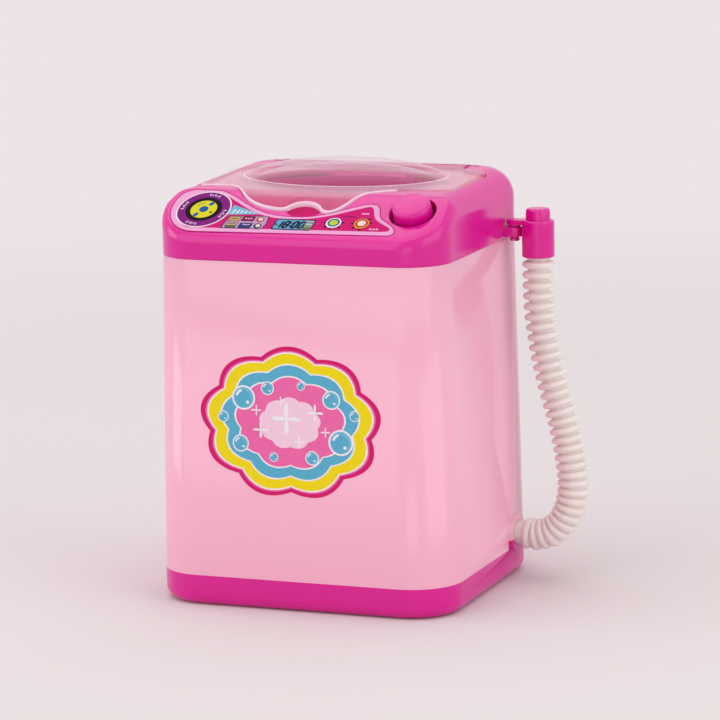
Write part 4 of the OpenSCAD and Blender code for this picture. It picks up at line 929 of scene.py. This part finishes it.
# The badge on the front wall: a foam cloud in bands, with soap bubbles and sparkles
def makeBadge():
    art = Print(badge, onWall)
    bands = ((1, "deepMagenta"), (0.945, "candy"), (0.925, "white"), (0.905, "lemon"), (0.775, "white"),
             (0.755, "turquoise"), (0.62, "white"), (0.6, "candy"), (0.42, "candy"), (0.34, "glow"))
    for level, (scale, ink) in enumerate(bands):
        art.shape(cloud(scale), ink, level)
    for x, y, radius in ((-13.5, 6.5, 3.4), (-6.4, 9.4, 1.9), (12.2, 7.0, 2.6), (14.8, -4.6, 3.6),
                         (-14.6, -6.2, 2.4), (6.4, -9.3, 2.0), (-4.9, -9.6, 1.3), (18.9, 2.9, 1.5),
                         (-19.6, 1.0, 1.6), (3.4, 10.4, 1.2)):
        art.disc(x, y, radius, "white", 10)
        art.disc(x, y, radius * 0.86, "sky", 11)
        art.disc(x - radius * 0.06, y - radius * 0.08, radius * 0.7, "turquoise", 12)
        art.band(x, y, radius * 0.52, radius * 0.7, 105, 165, "white", 13)
        art.disc(x + radius * 0.34, y - radius * 0.36, radius * 0.14, "white", 13, 16)
    for x, y, size in ((-1.0, 1.2, 4.6), (7.4, 3.2, 2.6), (-8.6, -2.2, 2.4), (2.6, -5.0, 1.8),
                       (-9.8, 3.2, 1.6), (10.4, -2.0, 1.5), (-2.6, 6.0, 1.4)):
        art.shape(sparkle(size, x, y), "white", 11)
    return art.done("printed_badge")


# A copy of a CAD node with its loose triangles joined and its round faces shaded smooth
def smoothCopy(node, name, sharpAngle=28):
    piece = bpy.data.objects.new(name, frame["nodes"][node].data.copy())
    bpy.context.scene.collection.objects.link(piece)
    weld = piece.modifiers.new("weld", "WELD")
    weld.merge_threshold = 0.000001
    return smoothed(applied(piece), sharpAngle)


# A socket that takes part in plain sums: each operator makes one math node
class Wire:
    # The finish it belongs to, and the socket itself
    def __init__(self, finish, socket):
        self.finish, self.socket = finish, socket

    # The node for one operation on two sockets or numbers
    def sum(self, operation, a, b):
        return self.finish.node("ShaderNodeMath", {"operation": operation}, {0: a, 1: b})

    def __add__(self, other):
        return self.sum("ADD", self, other)

    def __sub__(self, other):
        return self.sum("SUBTRACT", self, other)

    def __rsub__(self, other):
        return self.sum("SUBTRACT", other, self)

    def __mul__(self, other):
        return self.sum("MULTIPLY", self, other)

    def __pow__(self, other):
        return self.sum("POWER", self, other)

    __radd__, __rmul__ = __add__, __mul__


# The nodes of one material, or of the air
class Finish:
    # An empty node tree, on a new material unless an owner is given
    def __init__(self, name, owner=None):
        self.material = owner or bpy.data.materials.new(name)
        self.material.use_nodes = True
        self.tree = self.material.node_tree
        self.tree.nodes.clear()

    # One node: links go to the sockets that are wires, values to the rest
    def node(self, kind, settings, sockets, output=0):
        made = self.tree.nodes.new(kind)
        for name, value in settings.items():
            setattr(made, name, value)
        for name, value in sockets.items():
            if isinstance(value, Wire):
                self.tree.links.new(value.socket, made.inputs[name])
            else:
                made.inputs[name].default_value = value
        return Wire(self, made.outputs[output]) if made.outputs else None

    # Noise in the piece's own space, from nought to one
    def noise(self, scale, detail=2.0, stretch=(1.0, 1.0, 1.0)):
        place = self.node("ShaderNodeTexCoord", {}, {}, "Object")
        mapped = self.node("ShaderNodeMapping", {}, {"Vector": place, "Scale": stretch})
        sockets = {"Vector": mapped, "Scale": scale, "Detail": detail}
        return self.node("ShaderNodeTexNoise", {}, sockets, "Fac")

    # Two colours, the second by its share
    def mixed(self, share, first, second):
        return self.node("ShaderNodeMix", {"data_type": "RGBA"}, {0: share, 6: first, 7: second}, 2)

    # A height field of the given depth in metres, as normals
    def bump(self, height, distance):
        return self.node("ShaderNodeBump", {}, {"Height": height, "Distance": distance, "Strength": 1.0})

    # The one shader of a plain material
    def surface(self, sockets):
        shader = self.node("ShaderNodeBsdfPrincipled", {}, sockets)
        self.node("ShaderNodeOutputMaterial", {}, {"Surface": shader})
        return self


# A shown colour times a factor, as linear light
def shade(colour, factor=1.0):
    return (*np.clip(linear(*colour) * factor, 0, 1).tolist(), 1.0)


# Moulded plastic: a faintly clouded colour, smears of gloss and the soft waviness of a polished mould
def moulded(name, colour, rough=0.22, spread=0.02, smear=0.06, wave=0.000012, waveScale=260, extra=None):
    finish = Finish(name)
    cloudy, smears, waves = finish.noise(38), finish.noise(70, 3.0), finish.noise(waveScale, 1.0)
    tint = finish.mixed(cloudy, shade(colour, 1 - spread), shade(colour, 1 + spread))
    return finish.surface({"Base Color": tint, "Roughness": (smears - 0.5) * smear + rough,
                           "Normal": finish.bump(waves, wave), **(extra or {})})


# Metal drawn along one axis: fine lines in its roughness and relief, under a clouded tint
def metal(name, colour, rough, stretch):
    finish = Finish(name)
    lines = finish.noise(900, 2.0, stretch)
    tint = finish.mixed(finish.noise(120), shade(colour, 0.93), shade(colour, 1.05))
    return finish.surface({"Base Color": tint, "Metallic": 1.0, "Roughness": (lines - 0.5) * 0.18 + rough,
                           "Normal": finish.bump(lines, 0.00001)})


# Printed ink: its own colour, a fine grain of random darker tone, a thin gloss, and an even darkening by the
# least share, which on the panel is painted shade
def printedInk(name, rough, gloss, least):
    finish = Finish(name)
    ink = finish.node("ShaderNodeAttribute", {"attribute_name": "ink"}, {}, "Color")
    grain = finish.noise(1500, 1.0)
    grainAndShade = finish.mixed(grain * 0.16 + least, ink, (0.02, 0.01, 0.02, 1.0))
    return finish.surface({"Base Color": grainAndShade, "Roughness": (finish.noise(90) - 0.5) * 0.08 + rough,
                           "Specular IOR Level": gloss, "Normal": finish.bump(grain, 0.000004)})


# Clear moulding: nearly all of what lies behind shows. Face-on it has a dusky tint, painted shade that
# darkens what lies under the lid; at a slant it whitens, partly milky haze and partly a painted reflection
def clearPlastic(name, colour, shadeTint, least, most, power):
    finish = Finish(name)
    slant = finish.node("ShaderNodeLayerWeight", {}, {"Blend": 0.5}, "Facing")
    haze = finish.noise(60) * 0.02
    return finish.surface({"Base Color": finish.mixed(slant, shade(shadeTint), shade(colour)),
                           "Roughness": finish.noise(80) * 0.04 + 0.06,
                           "Normal": finish.bump(finish.noise(40, 1.0), 0.000004),
                           "Alpha": slant ** power * (most - least) + least + haze})


# Colour, roughness, clouding, smears, wave and its scale, then other sockets
mouldings = {
    "cap_magenta": ((222, 3, 147), 0.17, 0.02, 0.04, 0.00001, 160,
                    {"Sheen Weight": 0.12, "Sheen Roughness": 0.35, "Sheen Tint": (0.72, 0.55, 1.0, 1.0)}),
    # The recess colour is darker than the cap's. It is painted shade in the recess under the lid and in the
    # finger scoop, on a real dull finish
    "recess_matt_painted_shade": ((206, 4, 108), 0.55, 0.03, 0.06, 0.00002, 900, {"Specular IOR Level": 0.15}),
    "body_pink": ((248, 179, 203), 0.14, 0.012, 0.04, 0.00001, 120),
    # The lid edge's whitish colour is a painted highlight on the lid's front border and at the dome's foot
    "lid_edge_highlight": ((238, 202, 222), 0.3, 0.02, 0.05, 0.00001, 400,
                 {"Subsurface Weight": 0.3, "Subsurface Scale": 0.002}),
    "black_plastic": ((34, 34, 38), 0.5, 0.1, 0.1, 0.00002, 1500),
    "white_plastic": ((232, 229, 220), 0.42, 0.02, 0.08, 0.00002, 900),
    "seal_rubber": ((30, 30, 32), 0.62, 0.12, 0.1, 0.00002, 1800),
    "cell_jacket": ((34, 112, 78), 0.25, 0.06),
    "soft_pipe": ((226, 220, 212), 0.4, 0.03, 0.1, 0.00001, 200, {"Transmission Weight": 0.3}),
    "hose_white": ((240, 231, 225), 0.34, 0.02, 0.08, 0.00002, 500,
                   {"Subsurface Weight": 0.12, "Subsurface Scale": 0.003}),
    "wire_red": ((176, 26, 30), 0.45, 0.05),
    "wire_black": ((26, 26, 28), 0.45, 0.1),
    "wire_white": ((226, 226, 224), 0.45, 0.03)}
# Colour, roughness and how the drawn lines stretch along each axis
metals = {"steel": ((196, 196, 200), 0.3, (1.0, 1.0, 0.1)),
          "brass": ((206, 166, 92), 0.26, (1.0, 1.0, 0.1)),
          "motor_can": ((184, 187, 192), 0.28, (0.1, 1.0, 1.0))}

finishes = {name: moulded(name, *values) for name, values in mouldings.items()}
finishes |= {name: metal(name, *values) for name, values in metals.items()}
# The clear lid's whitish colour at a slant is partly painted reflection, and its dusky face-on tint is
# painted shade over what lies under the lid
finishes |= {"clear_lid": clearPlastic("clear_lid", (252, 234, 243), (222, 152, 186), 0.06, 0.8, 4.5),
             "printed_film": printedInk("printed_film", 0.45, 0.1, 0.0),
             # The panel's print is darkened by an even share, painted shade against the strong light that
             # falls on the panel
             "panel_ink": printedInk("panel_ink", 0.45, 0.03, 0.12)}

finishOf = {part["node"]: part["material_slot"] for part in frame["record"]["subparts"]}
for node, cadObject in frame["nodes"].items():
    for materialSlot in cadObject.material_slots:
        materialSlot.material = finishes[finishOf[node]].material
print("finishes made")


# Puts a new piece in the place of its nodes, under its finish, and lets it ride on a body
def dress(piece, body, slot, *nodes):
    piece.data.materials.clear()
    piece.data.materials.append(finishes[slot].material)
    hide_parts(*nodes)
    if body:
        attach(piece, body)
    return piece


# A second finish, on the faces that a rule picks by their middles and normals
def addFinish(piece, slot, picked):
    piece.data.materials.append(finishes[slot].material)
    chosen = picked(*faceData(piece))
    piece.data.polygons.foreach_set("material_index", chosen.astype(np.int32))


dress(hosePiece, None, "hose_white", "drain_hose")
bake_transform(hosePiece)
# The recess under the lid and the finger scoop take a darker colour, which is painted shade
addFinish(dress(makeCap(), "root", "cap_magenta", "top_cap"), "recess_matt_painted_shade", shadedRecessFaces)
# The lid's front border and the dome's foot take a painted highlight
addFinish(dress(makeLid(), "lid", "clear_lid", "lid"), "lid_edge_highlight", highlightFaces)
dress(makeButton(), "start_button", "cap_magenta", "start_button")
makeSpring()
dress(makeArm(), "hose_arm", "cap_magenta", "hose_arm")
dress(makePlug(), "hose_plug", "cap_magenta", "hose_plug")
print("mouldings made")
dress(smoothCopy("body_shell", "body_walls"), "root", "body_pink", "body_shell")
dress(smoothCopy("base_tray", "base_moulding"), "root", "cap_magenta", "base_tray")
filmPiece = dress(makeFilm(), "root", "printed_film", "panel_sticker")
filmPiece.data.materials[0] = finishes["panel_ink"].material
dress(makeBadge(), "root", "printed_film", "front_sticker")
print("prints laid")


studio = {"floor": (228, 220, 221), "backdrop": (236, 228, 231), "near": -900, "far": 1100, "half": 1400,
          "bend": 400, "height": 1300, "clear": (250, 800), "air": 0.55, "shown": 0.93}


# One for rays that come from the camera, off gloss or through clear plastic, nought for rays of soft light
def seenRay(finish):
    camera, glossy, clear = (finish.node("ShaderNodeLightPath", {}, {}, f"Is {kind} Ray")
                             for kind in ("Camera", "Glossy", "Transmission"))
    return clear.sum("MAXIMUM", camera.sum("MAXIMUM", camera, glossy), clear)


# The pale floor turns up by a quarter circle into a backdrop far behind, one sheet square to the view.
# Far from the toy the sheet shows one even tone, and near it the plain floor with its shadow
def makeFloor():
    turn = np.linspace(0, np.pi / 2, 24)
    far, bend, half = studio["far"], studio["bend"], studio["half"]
    along = np.concatenate([np.linspace(studio["near"], far, 3)[:-1], far + bend * np.sin(turn)])
    rise = np.concatenate([[0, 0], bend * (1 - np.cos(turn))])
    along, rise = np.append(along, along[-1]), np.append(rise, studio["height"])
    points = np.stack([np.stack([np.full_like(along, x), along, rise], 1) for x in (-half, half)])
    n = len(along)
    faces = [[k, n + k, n + k + 1, k + 1] for k in range(n - 1)]
    azimuth = math.radians(viewpoint["azimuth"])
    cosine, sine = math.cos(azimuth), math.sin(azimuth)
    toView = np.array([[cosine, sine, 0], [-sine, cosine, 0], [0, 0, 1]])
    floor = meshPiece("floor", points.reshape(-1, 3) @ toView, faces, 30)
    finish = Finish("floor")
    tint = finish.mixed(finish.noise(9), shade(studio["floor"], 0.985), shade(studio["floor"]))
    plain = finish.node("ShaderNodeBsdfPrincipled", {},
                        {"Base Color": tint, "Roughness": 0.8, "Specular IOR Level": 0.1})
    place = finish.node("ShaderNodeTexCoord", {}, {}, "Object")
    distance = finish.node("ShaderNodeVectorMath", {"operation": "LENGTH"}, {0: place}, "Value")
    clear, even = (edge * millimetre for edge in studio["clear"])
    away = finish.node("ShaderNodeMapRange", {"interpolation_type": "SMOOTHSTEP"},
                       {"Value": distance, "From Min": clear, "From Max": even})
    glow = finish.node("ShaderNodeEmission", {}, {"Color": shade(studio["backdrop"])})
    both = finish.node("ShaderNodeMixShader", {}, {0: away * seenRay(finish), 1: plain, 2: glow})
    finish.node("ShaderNodeOutputMaterial", {}, {"Surface": both})
    floor.data.materials.append(finish.material)


# The air lights the toy softly, and looks white to the camera and in reflections
def makeAir():
    world = bpy.data.worlds.new("air")
    bpy.context.scene.world = world
    air = Finish("air", world)
    strength = seenRay(air) * (studio["shown"] - studio["air"]) + studio["air"]
    sky = air.node("ShaderNodeBackground", {}, {"Color": (1.0, 0.985, 0.99, 1.0), "Strength": strength})
    air.node("ShaderNodeOutputWorld", {}, {"Surface": sky})


# Each lamp: its place in metres, the side of its square, and its power
lamps = {"ceiling": ((-0.1, 0.15, 1.3), 1.6, 7.8), "key": ((-0.7, -1.1, 0.85), 1.1, 3.4),
         "left": ((-1.2, -0.35, 0.5), 0.6, 2.4), "right": ((1.2, -0.3, 0.55), 1.2, 5.0),
         "low": ((0.25, -0.75, 0.12), 0.3, 0.3)}
lampAim = Vector((0, 0, 0.06))


# Square lamps, each turned towards the toy's middle
def makeLamps():
    for name, (place, side, power) in lamps.items():
        data = bpy.data.lights.new(name, "AREA")
        data.shape, data.size, data.energy = "SQUARE", side, power
        lamp = bpy.data.objects.new(name, data)
        lamp.location = place
        lamp.rotation_euler = (lampAim - lamp.location).to_track_quat("-Z", "Y").to_euler()
        bpy.context.scene.collection.objects.link(lamp)


makeFloor()
makeAir()
makeLamps()
bpy.context.scene.view_settings.view_transform = "Standard"
print("studio lit")
